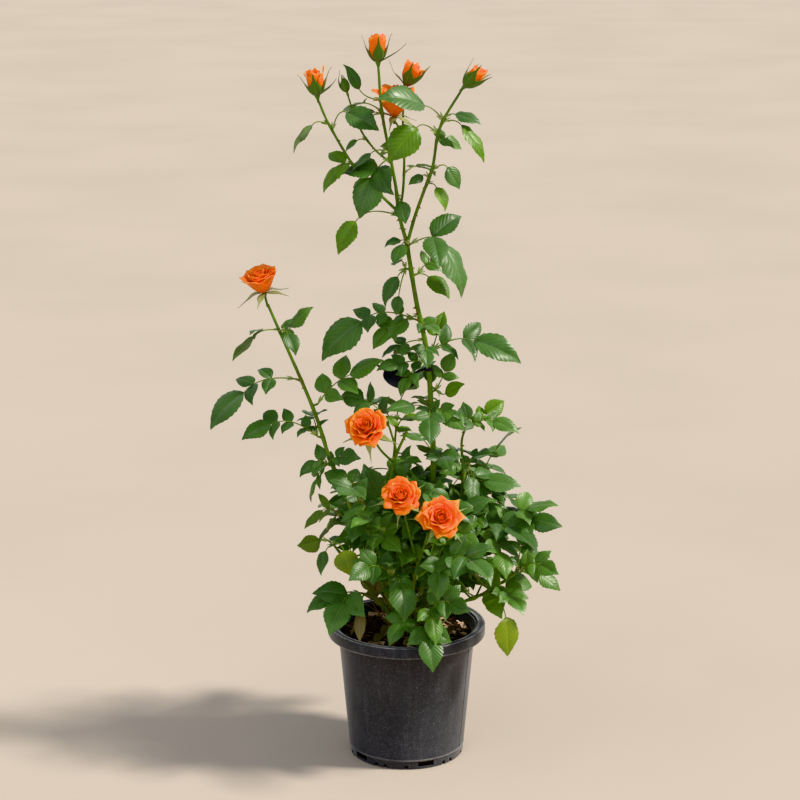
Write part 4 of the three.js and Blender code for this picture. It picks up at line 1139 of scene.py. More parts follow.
    def ruled(self, curve: Route, rule: Ruled) -> list[tuple[Array, Leaf]]:
        """The leaves that the source's seeded rule sets round a twig.

        Args:
            curve: the twig's line.
            rule: how many leaves, how long, and the seed.

        Returns:
            For each leaf where it leaves the twig, and its row.
        """
        random = Seeded(rule.seed)
        spin = random() * pi * 2
        leaves = []
        for i in range(rule.leaves):
            share = min(1.0, RULED_FIRST + (1 - RULED_FIRST) * (i + 1) / rule.leaves)
            last = i == rule.leaves - 1
            length = rule.size * (0.85 + 0.3 * random())
            angle = spin + GOLDEN_ANGLE * i + 0.5 * (random() - 0.5)
            along = curve.tangent(share)
            way = round_twig(along, angle) + along * (1.6 if last else 0.35)
            way = unit(way + UP * 0.15 * random())
            root = curve.point(share)
            tip = root + way * length * (1.9 + 0.4 * random())
            leaves.append((root, Leaf(tuple(tip), 5, length, tone=self.random.pick(RULED_TONES))))
        return leaves

    def fill(self, crown: "CrownSpace") -> None:
        """Carries the low crown to finer twigs, within the reach of the source's solids.

        Args:
            crown: the room that the twigs may take.
        """
        weights = {name: row[0] for name, row in crown.limbs.items()}
        for i in range(crown.twigs):
            name = self.random.pick(weights)
            height = self.random.between(*crown.limbs[name][1:])
            route = self.limbs[name]
            start = route.point(route.share_at_height(height))
            out = unit(heading_at(GOLDEN_ANGLE * i, self.random.between(0.1, 0.9)))
            curve = twig_arch(start, start + out * self.random.between(*crown.twig_length))
            grown = [k for k in range(SPRAY_LEAVES) if self.spray(crown, curve, out, k)]
            if grown:
                self.branch(name, height)
                line = curve.at(np.linspace(0, crown.share(grown[-1]), 8))
                self.twigs.append((line, *SPRAY_RADII))

    def spray(self, crown: "CrownSpace", curve: Arch, out: Array, number: int) -> bool:
        """Grows one leaf of a finer twig.

        Args:
            crown: the room that it may take.
            curve: the twig's line.
            out: the way that the twig points.
            number: the leaf's number along the twig.

        Returns:
            Whether it had room.
        """
        root = curve.point(crown.share(number))
        turn = GOLDEN_ANGLE * number + self.random.between(-0.4, 0.4)
        way = round_twig(out, turn) + out * self.random.between(0.4, 1.1)
        size = self.random.between(*crown.leaf_size)
        tip = root + unit(way) * size * self.random.between(1.8, 2.3)
        tone = self.random.pick(crown.tones)
        leaflets = self.random.pick(SPRAY_LEAFLETS)
        leaf = Leaf(tuple(tip), leaflets, size, self.random.between(0.1, 0.7), tone=tone)
        if not crown.holds(tip) or hides(tip, size):
            return False
        self.add_leaf(root, leaf, self.random.between(-0.6, 0.6))
        return True


@dataclass(frozen=True)
class CrownSpace:
    """The egg-shaped room that finer twigs of the low crown may take, in millimetres, and what they carry.

    Each limb has how likely it is, and the lowest and highest twig on it.
    """

    twigs: int
    leaf_size: tuple[float, float]
    twig_length: tuple[float, float]
    middle: Point
    reach: Point
    floor: float
    tones: dict[Tone, float]
    limbs: dict[str, tuple[float, float, float]]

    def share(self, number: int) -> float:
        """Where along its twig a leaf stands."""
        return SPRAY_FIRST + (1 - SPRAY_FIRST) * number / (SPRAY_LEAVES - 1)

    def holds(self, tip: Array) -> bool:
        """Whether a leaf's tip is inside the room."""
        away = (tip - np.array(self.middle)) / np.array(self.reach)
        return bool(away @ away < 1 and tip[2] > self.floor)


CROWN = CrownSpace(
    twigs=84, leaf_size=(32, 48), twig_length=(35, 90), middle=(38, 0, 366), reach=(166, 150, 106), floor=232,
    tones=RULED_TONES,
    limbs={
        "main_cane": (5, 300, 500), "left_cane": (2, 300, 460), "centre_cane": (4, 280, 490),
        "right_cane": (4, 260, 500), "low_right_cane": (3, 246, 305), "front_cane": (4, 256, 380),
        "low_left_cane": (1.5, 270, 350), "back_cane": (4, 250, 460),
    },
)
# The shaded leaves behind the canes' feet
SKIRT = CrownSpace(
    twigs=64, leaf_size=(24, 38), twig_length=(20, 80), middle=(4, 44, 276), reach=(96, 70, 60), floor=216,
    tones={DEEP: 7, MID: 1, OLIVE: 1, DRY: 1.6},
    limbs={
        "back_cane": (4, 222, 300), "main_cane": (2, 222, 290), "left_cane": (2.5, 222, 280),
        "right_cane": (1.5, 222, 280),
    },
)


def hides(tip: Array, size: float) -> bool:
    """Whether a leaf with this tip would stand in front of one of the sights.

    Args:
        tip: the leaf's tip.
        size: its end leaflet's length.

    Returns:
        Whether it would.
    """
    for middle, radius in SIGHTS:
        away = tip - np.array(middle)
        if hypot(away[0], away[2] - 0.2 * away[1]) < radius + size * 0.7 and away[1] < 10:
            return True
    return False


class Nodes:
    """Adds nodes to one tree, with their inputs set from numbers or linked from other nodes' outputs."""

    def __init__(self, tree: NodeTree) -> None:
        """Keeps the tree."""
        self.tree = tree

    def feed(self, node: Node, inputs: dict) -> None:
        """Sets a node's inputs, by name or number, or links them where the value is an output.

        Args:
            node: the node.
            inputs: for each input a number, a colour or an output.
        """
        for key, value in inputs.items():
            socket = node.inputs[key]
            if isinstance(value, NodeSocket):
                self.tree.links.new(value, socket)
            else:
                socket.default_value = (*value, 1) if socket.type == "RGBA" else value

    def add(self, kind: str, inputs: dict | None = None, **settings: object) -> Node:
        """A new shader node.

        Args:
            kind: the node's type, without its prefix.
            inputs: for each input's name or number, a number, a colour or another node's output.
            settings: the node's own options.

        Returns:
            The node.
        """
        node = self.tree.nodes.new("ShaderNode" + kind)
        for key, value in settings.items():
            setattr(node, key, value)
        self.feed(node, inputs or {})
        return node

    def math(self, operation: str, *values: object) -> NodeSocket:
        """The result of a sum on numbers or outputs."""
        return self.add("Math", dict(enumerate(values)), operation=operation).outputs[0]

    def times(self, first: object, second: object) -> NodeSocket:
        """The product of two numbers or outputs."""
        return self.math("MULTIPLY", first, second)

    def mix(self, factor: object, first: object, second: object) -> NodeSocket:
        """Two colours mixed."""
        return self.add("Mix", {0: factor, 6: first, 7: second}, data_type="RGBA").outputs[2]

    def ranged(self, value: object, low: float, high: float, to_low: float = 0.0,
               to_high: float = 1.0) -> NodeSocket:
        """A number carried from one range to another, with a smooth start and end."""
        inputs = {0: value, 1: low, 2: high, 3: to_low, 4: to_high}
        return self.add("MapRange", inputs, interpolation_type="SMOOTHSTEP").outputs[0]

    def group(self, tree: NodeTree, **inputs: object) -> Node:
        """A node group placed in the tree, with its own values."""
        return self.add("Group", inputs, node_tree=tree)

    def named(self, attribute: str) -> NodeSocket:
        """A number that each face carries."""
        return self.add("Attribute", attribute_name=attribute).outputs["Fac"]

    def object_place(self) -> NodeSocket:
        """The place on the piece, in metres."""
        return self.add("TexCoord").outputs["Object"]

    def blade_place(self) -> NodeSocket:
        """The place along and across a leaflet, sepal or petal."""
        return self.add("UVMap", uv_map="blade").outputs[0]

    def stretched(self, place_on: NodeSocket, stretch: object) -> NodeSocket:
        """A place with its axes stretched, for a pattern that runs one way."""
        return self.add("Mapping", {"Vector": place_on, "Scale": stretch}).outputs[0]

    def noise(self, scale: object, detail: float = 3.0, place_on: NodeSocket | None = None,
              **inputs: object) -> NodeSocket:
        """A cloudy pattern, from 0 to 1.

        Args:
            scale: one over the width of its patches, in metres.
            detail: how fine it goes.
            place_on: the place that it reads, or the place on the piece.
            inputs: the noise's further inputs.

        Returns:
            The pattern's output.
        """
        if place_on is None:
            place_on = self.object_place()
        inputs |= {"Vector": place_on, "Scale": scale, "Detail": detail}
        return self.add("TexNoise", inputs).outputs["Fac"]


class Pattern(Nodes):
    """A shader node group while it is built."""

    def __init__(self, name: str, outputs: tuple[str, ...], **inputs: float | Point) -> None:
        """Makes the group with its sockets.

        Args:
            name: the group's name.
            outputs: the name of each number that it puts out.
            inputs: for each input's name, its first value, a number or a vector.
        """
        super().__init__(bpy.data.node_groups.new(name, "ShaderNodeTree"))
        sockets = self.tree.interface
        for label, value in inputs.items():
            kind = "NodeSocketVector" if isinstance(value, tuple) else "NodeSocketFloat"
            sockets.new_socket(label, in_out="INPUT", socket_type=kind).default_value = value
        for label in outputs:
            sockets.new_socket(label, in_out="OUTPUT", socket_type="NodeSocketFloat")
        self.inputs = self.tree.nodes.new("NodeGroupInput").outputs

    def give(self, **values: NodeSocket) -> NodeTree:
        """Links what the group puts out, and returns its tree."""
        self.feed(self.tree.nodes.new("NodeGroupOutput"), values)
        return self.tree


class Effects:
    """The patterns that several finishes share, each a node group that is built once."""

    def __init__(self) -> None:
        """Builds the groups."""
        self.veins = self.build_veins()
        self.mottle = self.build_mottle()
        self.grain = self.build_grain()

    def build_veins(self) -> NodeTree:
        """Midrib and side veins on a blade's UV map, as a mask and as a height.

        Returns:
            The group's tree.
        """
        outputs = ("Veins", "Height", "Margin")
        nodes = Pattern("leaf_veins", outputs, Place=(0.0, 0.0, 0.0), Pairs=8.0, Slant=0.45)
        parts = nodes.add("SeparateXYZ", {0: nodes.inputs["Place"]}).outputs
        across = nodes.math("ABSOLUTE", nodes.math("MULTIPLY_ADD", parts[1], 2.0, -1.0))
        midrib = nodes.ranged(across, 0.02, 0.085, 1.0, 0.0)
        step = nodes.math("SUBTRACT", parts[0], nodes.times(across, nodes.inputs["Slant"]))
        step = nodes.times(step, nodes.inputs["Pairs"])
        away = nodes.math("ABSOLUTE", nodes.math("SUBTRACT", nodes.math("FRACT", step), 0.5))
        fade = nodes.ranged(across, 0.5, 0.95, 0.75, 0.1)
        side = nodes.times(nodes.ranged(away, 0.02, 0.13, 1.0, 0.0), fade)
        quilt = nodes.times(nodes.ranged(away, 0.0, 0.5), nodes.ranged(across, 0.0, 0.3, 0.3, 1.0))
        return nodes.give(
            Veins=nodes.math("MAXIMUM", midrib, side),
            Height=nodes.math("SUBTRACT", quilt, nodes.times(midrib, 0.6)),
            Margin=nodes.ranged(across, 0.72, 0.9),
        )

    def build_mottle(self) -> NodeTree:
        """Soft patches in two sizes, as a mask from 0 to 1.

        Returns:
            The group's tree.
        """
        nodes = Pattern("mottle", ("Mask",), Coarse=40.0, Fine=400.0, Share=0.4)
        coarse, fine = (nodes.noise(nodes.inputs[size], 2.0) for size in ("Coarse", "Fine"))
        both = nodes.add("Mix", {0: nodes.inputs["Share"], 2: coarse, 3: fine}, data_type="FLOAT")
        return nodes.give(Mask=nodes.ranged(both.outputs[0], 0.3, 0.7))

    def build_grain(self) -> NodeTree:
        """A grainy height, such as of moulded plastic, bark or soil, stretched as asked.

        Returns:
            The group's tree.
        """
        nodes = Pattern("grain", ("Height",), Size=800.0, Stretch=(1.0, 1.0, 1.0), Roughness=0.6)
        place_on = nodes.stretched(nodes.object_place(), nodes.inputs["Stretch"])
        size, rough = nodes.inputs["Size"], nodes.inputs["Roughness"]
        return nodes.give(Height=nodes.noise(size, 4.0, place_on, Roughness=rough))


class Dress(Nodes):
    """A new material's nodes, round its Principled shader."""

    def __init__(self, name: str, **constants: object) -> None:
        """Makes the material.

        Args:
            name: the material's name.
            constants: plain values of the shader's own sockets, named with _ for a space.
        """
        self.material = bpy.data.materials.new(name)
        self.material.use_nodes = True
        super().__init__(self.material.node_tree)
        self.principled = self.tree.nodes["Principled BSDF"]
        self.feed(self.principled, {key.replace("_", " "): value for key, value in constants.items()})

    def wire(self, colour: NodeSocket, roughness: NodeSocket | float, height: NodeSocket, depth: float,
             strength: float = 0.6) -> Material:
        """Links colour and roughness, and a height through a Bump node, into the shader.

        Args:
            colour: the colour output.
            roughness: the roughness output or number.
            height: the height output.
            depth: how deep the relief is, in metres.
            strength: how strongly it shows.

        Returns:
            The finished material.
        """
        bump = self.add("Bump", {"Height": height, "Distance": depth, "Strength": strength})
        inputs = {"Base Color": colour, "Roughness": roughness, "Normal": bump.outputs[0]}
        self.feed(self.principled, inputs)
        return self.material


@dataclass(frozen=True)
class LeafFinish:
    """A glossy leaf blade: darker and lighter upper side, pale veins, paler and duller under side."""

    name: str
    dark: Colour
    light: Colour
    vein: Colour
    under: Colour
    margin: Colour
    gloss: float = 0.38
    vein_share: float = 0.28
    margin_share: float = 0.12
    glow: float = 0.1
    relief: float = 0.0006

    def build(self, effects: Effects) -> Material:
        """The material.

        Args:
            effects: the patterns that finishes share.

        Returns:
            The material.
        """
        dress = Dress(
            self.name, Specular_IOR_Level=0.5, Subsurface_Weight=self.glow, Subsurface_Scale=0.002,
            Subsurface_Radius=(0.5, 1.0, 0.15), Coat_Weight=0.1, Coat_Roughness=0.28, Sheen_Weight=0.16,
            Sheen_Roughness=0.45,
        )
        ribs = dress.group(effects.veins, Place=dress.blade_place(), Pairs=8.0, Slant=0.42)
        veins, height, margin = ribs.outputs
        mottle = dress.group(effects.mottle, Coarse=60.0, Fine=900.0, Share=0.4).outputs[0]
        blend = dress.math("MULTIPLY_ADD", dress.named("shade"), 0.6, dress.times(mottle, 0.4))
        upper = dress.mix(blend, self.dark, self.light)
        upper = dress.mix(dress.times(veins, self.vein_share), upper, self.vein)
        upper = dress.mix(dress.times(margin, self.margin_share), upper, self.margin)
        lower = dress.mix(dress.times(veins, 0.4), self.under, self.vein)
        under = dress.named("under")
        gloss = dress.ranged(mottle, 0, 1, self.gloss, self.gloss + 0.12)
        roughness = dress.math("MULTIPLY_ADD", under, 0.28, gloss)
        return dress.wire(dress.mix(under, upper, lower), roughness, height, self.relief, 0.44)


@dataclass(frozen=True)
class StemFinish:
    """Smooth living bark: green with a lighter or redder side, and fine lines along it."""

    name: str
    dark: Colour
    light: Colour
    blush: Colour
    blush_share: float
    stretch: Point = (1.0, 1.0, 0.15)
    relief: float = 0.0004
    rough: float = 0.42

    def build(self, effects: Effects) -> Material:
        """The material.

        Args:
            effects: the patterns that finishes share.

        Returns:
            The material.
        """
        dress = Dress(self.name, Specular_IOR_Level=0.5, Subsurface_Weight=0.05, Subsurface_Scale=0.002)
        mottle = dress.group(effects.mottle, Coarse=30.0, Fine=260.0, Share=0.4).outputs[0]
        patches = dress.ranged(dress.noise(22.0), 0.45, 0.7, 0.0, self.blush_share)
        colour = dress.mix(patches, dress.mix(mottle, self.dark, self.light), self.blush)
        grain = dress.group(effects.grain, Size=900.0, Stretch=self.stretch, Roughness=0.6).outputs[0]
        rough = dress.ranged(grain, 0.3, 0.7, self.rough, self.rough + 0.15)
        return dress.wire(colour, rough, grain, self.relief)


@dataclass(frozen=True)
class PetalFinish:
    """A satin petal: deep at its foot and in its folds, bright in the middle and peach at its lip."""

    name: str
    foot: Colour
    middle: Colour
    lip: Colour
    back: Colour

    def build(self, effects: Effects) -> Material:
        """The material.

        Args:
            effects: the patterns that finishes share.

        Returns:
            The material.
        """
        dress = Dress(
            self.name, Specular_IOR_Level=0.3, Subsurface_Weight=0.25, Subsurface_Scale=0.004,
            Subsurface_Radius=(1.0, 0.25, 0.05), Sheen_Weight=0.04, Sheen_Roughness=0.4,
        )
        place_on = dress.blade_place()
        along = dress.add("SeparateXYZ", {0: place_on}).outputs[0]
        mottle = dress.group(effects.mottle, Coarse=90.0, Fine=700.0, Share=0.3).outputs[0]
        rise = dress.math("MULTIPLY_ADD", dress.math("SUBTRACT", mottle, 0.5), 0.15, along)
        colour = dress.mix(dress.ranged(rise, 0.1, 0.7), self.foot, self.middle)
        shade = dress.math("POWER", dress.named("shade"), 1.3)
        colour = dress.mix(dress.times(shade, 0.85), colour, self.foot)
        colour = dress.mix(dress.times(dress.named("under"), 0.6), colour, self.back)
        edge = dress.times(dress.ranged(rise, 0.84, 1.02, 0.0, 0.9), dress.ranged(shade, 0.05, 0.6, 1, 0.12))
        streaks = dress.noise(1.5, 2.0, dress.stretched(place_on, (2.0, 26.0, 1.0)))
        return dress.wire(dress.mix(edge, colour, self.lip), 0.48, streaks, 0.0005, 0.5)


@dataclass(frozen=True)
class PlasticFinish:
    """Moulded matt plastic: a fine pebbled surface, dust in patches, paler scuffs and a dusty foot.

    Each painted highlight line is the height of an edge that catches the light, how far the painted highlight
    reaches from it, both in metres, and how strong it is.
    """

    name: str
    base: Colour
    dust: Colour
    rough: float
    dust_share: float
    foot: float = 0.0
    specks: float = 0.3
    sheen: float = 0.0
    highlight_colour: Colour = (0.5, 0.48, 0.47)
    highlight_lines: tuple[Point, ...] = ()

    def build(self, effects: Effects) -> Material:
        """The material.

        Args:
            effects: the patterns that finishes share.

        Returns:
            The material.
        """
        dress = Dress(self.name, Specular_IOR_Level=0.5, Sheen_Weight=self.sheen, Sheen_Roughness=0.45)
        dusty = dress.group(effects.mottle, Coarse=14.0, Fine=130.0, Share=0.45).outputs[0]
        specks = dress.ranged(dress.noise(620.0, 2.0), 0.6, 0.72, 0.0, self.specks)
        upright = dress.stretched(dress.object_place(), (1.0, 1.0, 0.06))
        scuffs = dress.ranged(dress.noise(110.0, 2.0, upright), 0.52, 0.72, 0.0, 0.8)
        height = dress.add("SeparateXYZ", {0: dress.object_place()}).outputs[2]
        low = dress.ranged(height, 0.0, 0.07, self.foot, 0.0)
        share = dress.math("MULTIPLY_ADD", dusty, self.dust_share, low)
        share = dress.math("ADD", share, dress.math("MULTIPLY_ADD", scuffs, self.dust_share, specks))
        colour = dress.mix(share, self.base, self.dust)
        # Painted highlights: pale bands at the heights of the edges that catch the light
        for level, reach, much in self.highlight_lines:
            away = dress.math("ABSOLUTE", dress.math("SUBTRACT", height, level))
            highlight_band = dress.times(dress.ranged(away, reach / 2, reach, much, 0), dress.ranged(dusty, 0, 1, 0.35))
            colour = dress.mix(highlight_band, colour, self.highlight_colour)
        grain = dress.group(effects.grain, Size=1500.0, Roughness=0.5).outputs[0]
        rough = dress.math("MULTIPLY_ADD", share, 0.5, self.rough)
        return dress.wire(colour, rough, grain, 0.00025, 0.5)


@dataclass(frozen=True)
class EarthFinish:
    """Potting mix, bark chips and litter: dark and light crumbs, dull and rough."""

    name: str
    dark: Colour
    light: Colour
    pale: Colour
    pale_share: float
    size: float

    def build(self, effects: Effects) -> Material:
        """The material.

        Args:
            effects: the patterns that finishes share.

        Returns:
            The material.
        """
        dress = Dress(self.name, Specular_IOR_Level=0.25)
        mottle = dress.group(effects.mottle, Coarse=self.size, Fine=self.size * 5, Share=0.5).outputs[0]
        edge = 1 - self.pale_share
        pale = dress.ranged(dress.named("shade"), edge - 0.08, edge + 0.08, 0.0, 0.9)
        colour = dress.mix(pale, dress.mix(mottle, self.dark, self.light), self.pale)
        grain = dress.group(effects.grain, Size=self.size * 4, Roughness=0.7).outputs[0]
        return dress.wire(colour, 0.88, grain, 0.0012, 0.9)


LEAF_FINISHES = {
    DEEP: LeafFinish(
        "deep_green_leaf", (0.028, 0.086, 0.013), (0.074, 0.178, 0.032), (0.16, 0.28, 0.1),
        (0.12, 0.21, 0.07), (0.07, 0.14, 0.018),
    ),
    MID: LeafFinish(
        "mid_green_leaf", (0.046, 0.13, 0.014), (0.105, 0.235, 0.032), (0.2, 0.34, 0.09),
        (0.14, 0.25, 0.07), (0.1, 0.17, 0.015),
    ),
    # Yellow-green leaves: their own lighter green, brightened as a painted glow of sunlight shining through
    # backlit leaves
    BACKLIT_LIME: LeafFinish(
        "lime_leaf", (0.06, 0.155, 0.001), (0.12, 0.255, 0.003), (0.19, 0.36, 0.03),
        (0.13, 0.25, 0.015), (0.13, 0.18, 0.008), gloss=0.42, glow=0.2,
    ),
    OLD: LeafFinish(
        "yellow_green_leaf", (0.11, 0.185, 0.002), (0.2, 0.275, 0.005), (0.3, 0.36, 0.03),
        (0.17, 0.22, 0.02), (0.26, 0.13, 0.02), gloss=0.48, margin_share=0.45, glow=0.16,
    ),
    OLIVE: LeafFinish(
        "olive_leaf", (0.055, 0.12, 0.008), (0.12, 0.21, 0.016), (0.22, 0.3, 0.07),
        (0.16, 0.19, 0.06), (0.16, 0.09, 0.025), gloss=0.45, margin_share=0.45,
    ),
    DRY: LeafFinish(
        "dried_leaf", (0.09, 0.095, 0.03), (0.27, 0.21, 0.11), (0.34, 0.28, 0.16),
        (0.24, 0.19, 0.1), (0.08, 0.05, 0.025), gloss=0.7, vein_share=0.4, margin_share=0.5, glow=0.02,
    ),
}
CANE_FINISH = StemFinish("green_cane", (0.055, 0.13, 0.01), (0.14, 0.27, 0.02), (0.16, 0.12, 0.025), 0.3)
STALK_FINISH = StemFinish("leaf_stalk", (0.1, 0.2, 0.015), (0.2, 0.34, 0.03), (0.2, 0.09, 0.03), 0.4)
TWIG_FINISH = StemFinish("twig", (0.07, 0.14, 0.012), (0.16, 0.27, 0.025), (0.19, 0.1, 0.035), 0.45)
PRICKLE_FINISH = StemFinish("prickle", (0.22, 0.1, 0.03), (0.36, 0.22, 0.06), (0.3, 0.05, 0.03), 0.5)
STUMP_FINISH = StemFinish(
    "stump_bark", (0.05, 0.033, 0.02), (0.17, 0.12, 0.07), (0.12, 0.11, 0.06), 0.4,
    stretch=(1.0, 1.0, 0.3), relief=0.0025, rough=0.75,
)
STICK_FINISH = StemFinish(
    "dry_twig", (0.1, 0.06, 0.035), (0.36, 0.25, 0.15), (0.18, 0.1, 0.06), 0.4, relief=0.0006, rough=0.8,
)
HIP_FINISH = StemFinish("green_hip", (0.05, 0.13, 0.01), (0.11, 0.24, 0.02), (0.14, 0.1, 0.03), 0.35)
SEPAL_FINISH = LeafFinish(
    "sepal", (0.3, 0.38, 0.13), (0.38, 0.46, 0.18), (0.3, 0.4, 0.14),
    (0.07, 0.15, 0.014), (0.16, 0.09, 0.04), gloss=0.5, margin_share=0.35, vein_share=0.1,
)
PETAL_FINISH = PetalFinish(
    "orange_petal", (0.95, 0.05, 0.002), (1.0, 0.2, 0.012), (1.0, 0.42, 0.085), (1.0, 0.19, 0.012),
)
# The pale bands at the pot's bottom edge, foot ridge and rim edges are painted highlights
POT_FINISH = PlasticFinish(
    "pot_plastic", (0.018, 0.022, 0.031), (0.19, 0.19, 0.205), 0.42, 0.12, foot=0.05, specks=0.75, sheen=0.46,
    highlight_lines=((0.0005, 0.001, 0.2), (0.0157, 0.0012, 0.3), (0.1987, 0.0018, 0.3), (0.2151, 0.0006, 0.75)),
)
LABEL_FINISH = PlasticFinish("label_plastic", (0.012, 0.011, 0.024), (0.1, 0.1, 0.12), 0.34, 0.08, specks=0.1)
SOIL_FINISH = EarthFinish(
    "potting_mix", (0.004, 0.003, 0.0025), (0.022, 0.015, 0.01), (0.05, 0.035, 0.02), 0.1, 240,
)
CHIP_FINISH = EarthFinish(
    "bark_chip", (0.009, 0.006, 0.004), (0.06, 0.038, 0.024), (0.8, 0.6, 0.45), 0.3, 160,
)


@dataclass
class Foliage:
    """All leaves, their stalks and the twigs that carry them, each kind apart."""

    growth: Growth
    stalk_sides: int = 5
    twig_sides: int = 7
    seed: int = 99

    def build(self, effects: Effects) -> None:
        """Makes and dresses the leaves by tone, and then the stalks, stipules and twigs.

        Args:
            effects: the patterns that finishes share.
        """
        grown = self.growth
        nodes = [*LEAF_MASSES, *LEAFY_TWIGS]
        for number, tone in enumerate(sorted(grown.blades, key=lambda tone: tone.value), 1):
            leaves = blades_object(f"{tone.value}_leaves", LEAFLET, grown.blades[tone], self.seed + number)
            place(leaves, "leaf", nodes, LEAF_FINISHES[tone].build(effects))
        stalks = tubes_object("leaf_stalks", grown.stalks, self.stalk_sides)
        place(stalks, "leaf", nodes, STALK_FINISH.build(effects))
        stipules = blades_object("stipules", STIPULE, grown.stipules, self.seed)
        place(stipules, "leaf", nodes, SEPAL_FINISH.build(effects))
        twigs = tubes_object("twigs", grown.twigs, self.twig_sides)
        place(twigs, "leaf", nodes, TWIG_FINISH.build(effects))


@dataclass
class Stems:
    """The canes, the flowering shoots and their prickles."""

    growth: Growth
    step: float = 5.0
    knuckle: float = 0.55
    relief: float = 0.22
    prickle_every: float = 24.0

    def bark(self, name: str, stem: Cane | Shoot) -> Object:
        """One stem as a tube with a knuckle where each leaf leaves it and a little relief.

        Args:
            name: the stem's name.
            stem: its row.

        Returns:
            The mesh object.
        """
        route = self.growth.limbs[name]
        count = max(8, int(route.length() / self.step))
        line = route.spaced(count)
        radii = np.linspace(stem.foot, stem.tip, count)
        for axil in self.growth.axils[name]:
            away = np.linalg.norm(line - route.point(axil), axis=1)
            radii = radii + self.knuckle * np.exp(-((away / self.step) ** 2))
        obj = swept_object(name + "_bark", line, radii)
        for vertex in obj.data.vertices:
            bump = noise.noise(vertex.co * 90) * 0.7 + noise.noise(vertex.co * 260) * 0.3
            vertex.co += vertex.normal * (bump * self.relief * MM)
        return obj

    def cone(self) -> tuple[Array, Array]:
        """A prickle's points, as shares of its size along, across and out of the stem, and its faces.

        Returns:
            The points, and for each face the numbers of its points.
        """
        turns = np.arange(6) / 6 * 2 * pi
        rings = [
            np.stack([np.cos(turns) * long - hook, np.sin(turns) * wide, turns * 0 + rise], axis=1)
            for long, wide, hook, rise in ((0.42, 0.17, 0.0, 0.0), (0.17, 0.09, 0.05, 0.55))
        ]
        faces = [(0, k + 1, k) for k in range(1, 5)]
        for a, b in zip(range(6), (1, 2, 3, 4, 5, 0)):
            faces += [(a, b, b + 6), (a, b + 6, a + 6), (a + 6, b + 6, 12)]
        return np.vstack([*rings, (-0.32, 0.0, 1.0)]), np.array(faces)

    def prickles(self) -> Object:
        """Every prickle as one mesh: a hooked cone with a long foot on its stem.

        Returns:
            The mesh object.
        """
        random = Seeded(31)
        cone, sides = self.cone()
        points: list[Array] = []
        for name, stem in STEMS.items():
            route = self.growth.limbs[name]
            for i in range(int(route.length() / self.prickle_every)):
                share = random.between(0.03, 0.96)
                along = route.tangent(share)
                angle = GOLDEN_ANGLE * i + random.between(-0.5, 0.5)
                side = unit(np.cross(along, FRONT))
                out = side * cos(angle) + np.cross(along, side) * sin(angle)
                across = np.cross(along, out)
                radius = stem.foot + (stem.tip - stem.foot) * share
                size = random.between(0.9, 1.35) * (1.4 + 0.75 * radius)
                base = route.point(share) + out * (radius - 0.4)
                points.append(base + cone @ np.stack([along, across, out]) * size)
        faces = [sides + number * len(cone) for number in range(len(points))]
        obj = mesh_object("prickles", np.vstack(points), np.vstack(faces).tolist())
        merge(obj.data, 1e-9)
        return obj

    def build(self, effects: Effects) -> None:
        """Makes and dresses every stem and the prickles.

        Args:
            effects: the patterns that finishes share.
        """
        green = CANE_FINISH.build(effects)
        for name, stem in STEMS.items():
            place(self.bark(name, stem), "cane" if name in CANES else "leaf", [name], green)
        place(self.prickles(), "cane", [], PRICKLE_FINISH.build(effects))


@dataclass(frozen=True)
class Petal:
    """One petal in its flower's own frame, in millimetres and radians.

    Args:
        azimuth: the way it stands round the flower's axis.
        foot: how far its root is from the axis.
        rise: how high its root is.
        length: its length from root to lip.
        width: half its greatest width.
        leans: its lean from the axis at its root, lower part, upper part and lip.
        wrap: how much flatter than its place round the axis it bends.
        reflex: how far its sides roll back.
        point: how far the middle of its lip stands out.
        ruffle: how far its lip waves.
    """

    azimuth: float
    foot: float
    rise: float
    length: float
    width: float
    leans: tuple[float, ...]
    wrap: float
    reflex: float = 0.0
    point: float = 0.0
    ruffle: float = 0.0


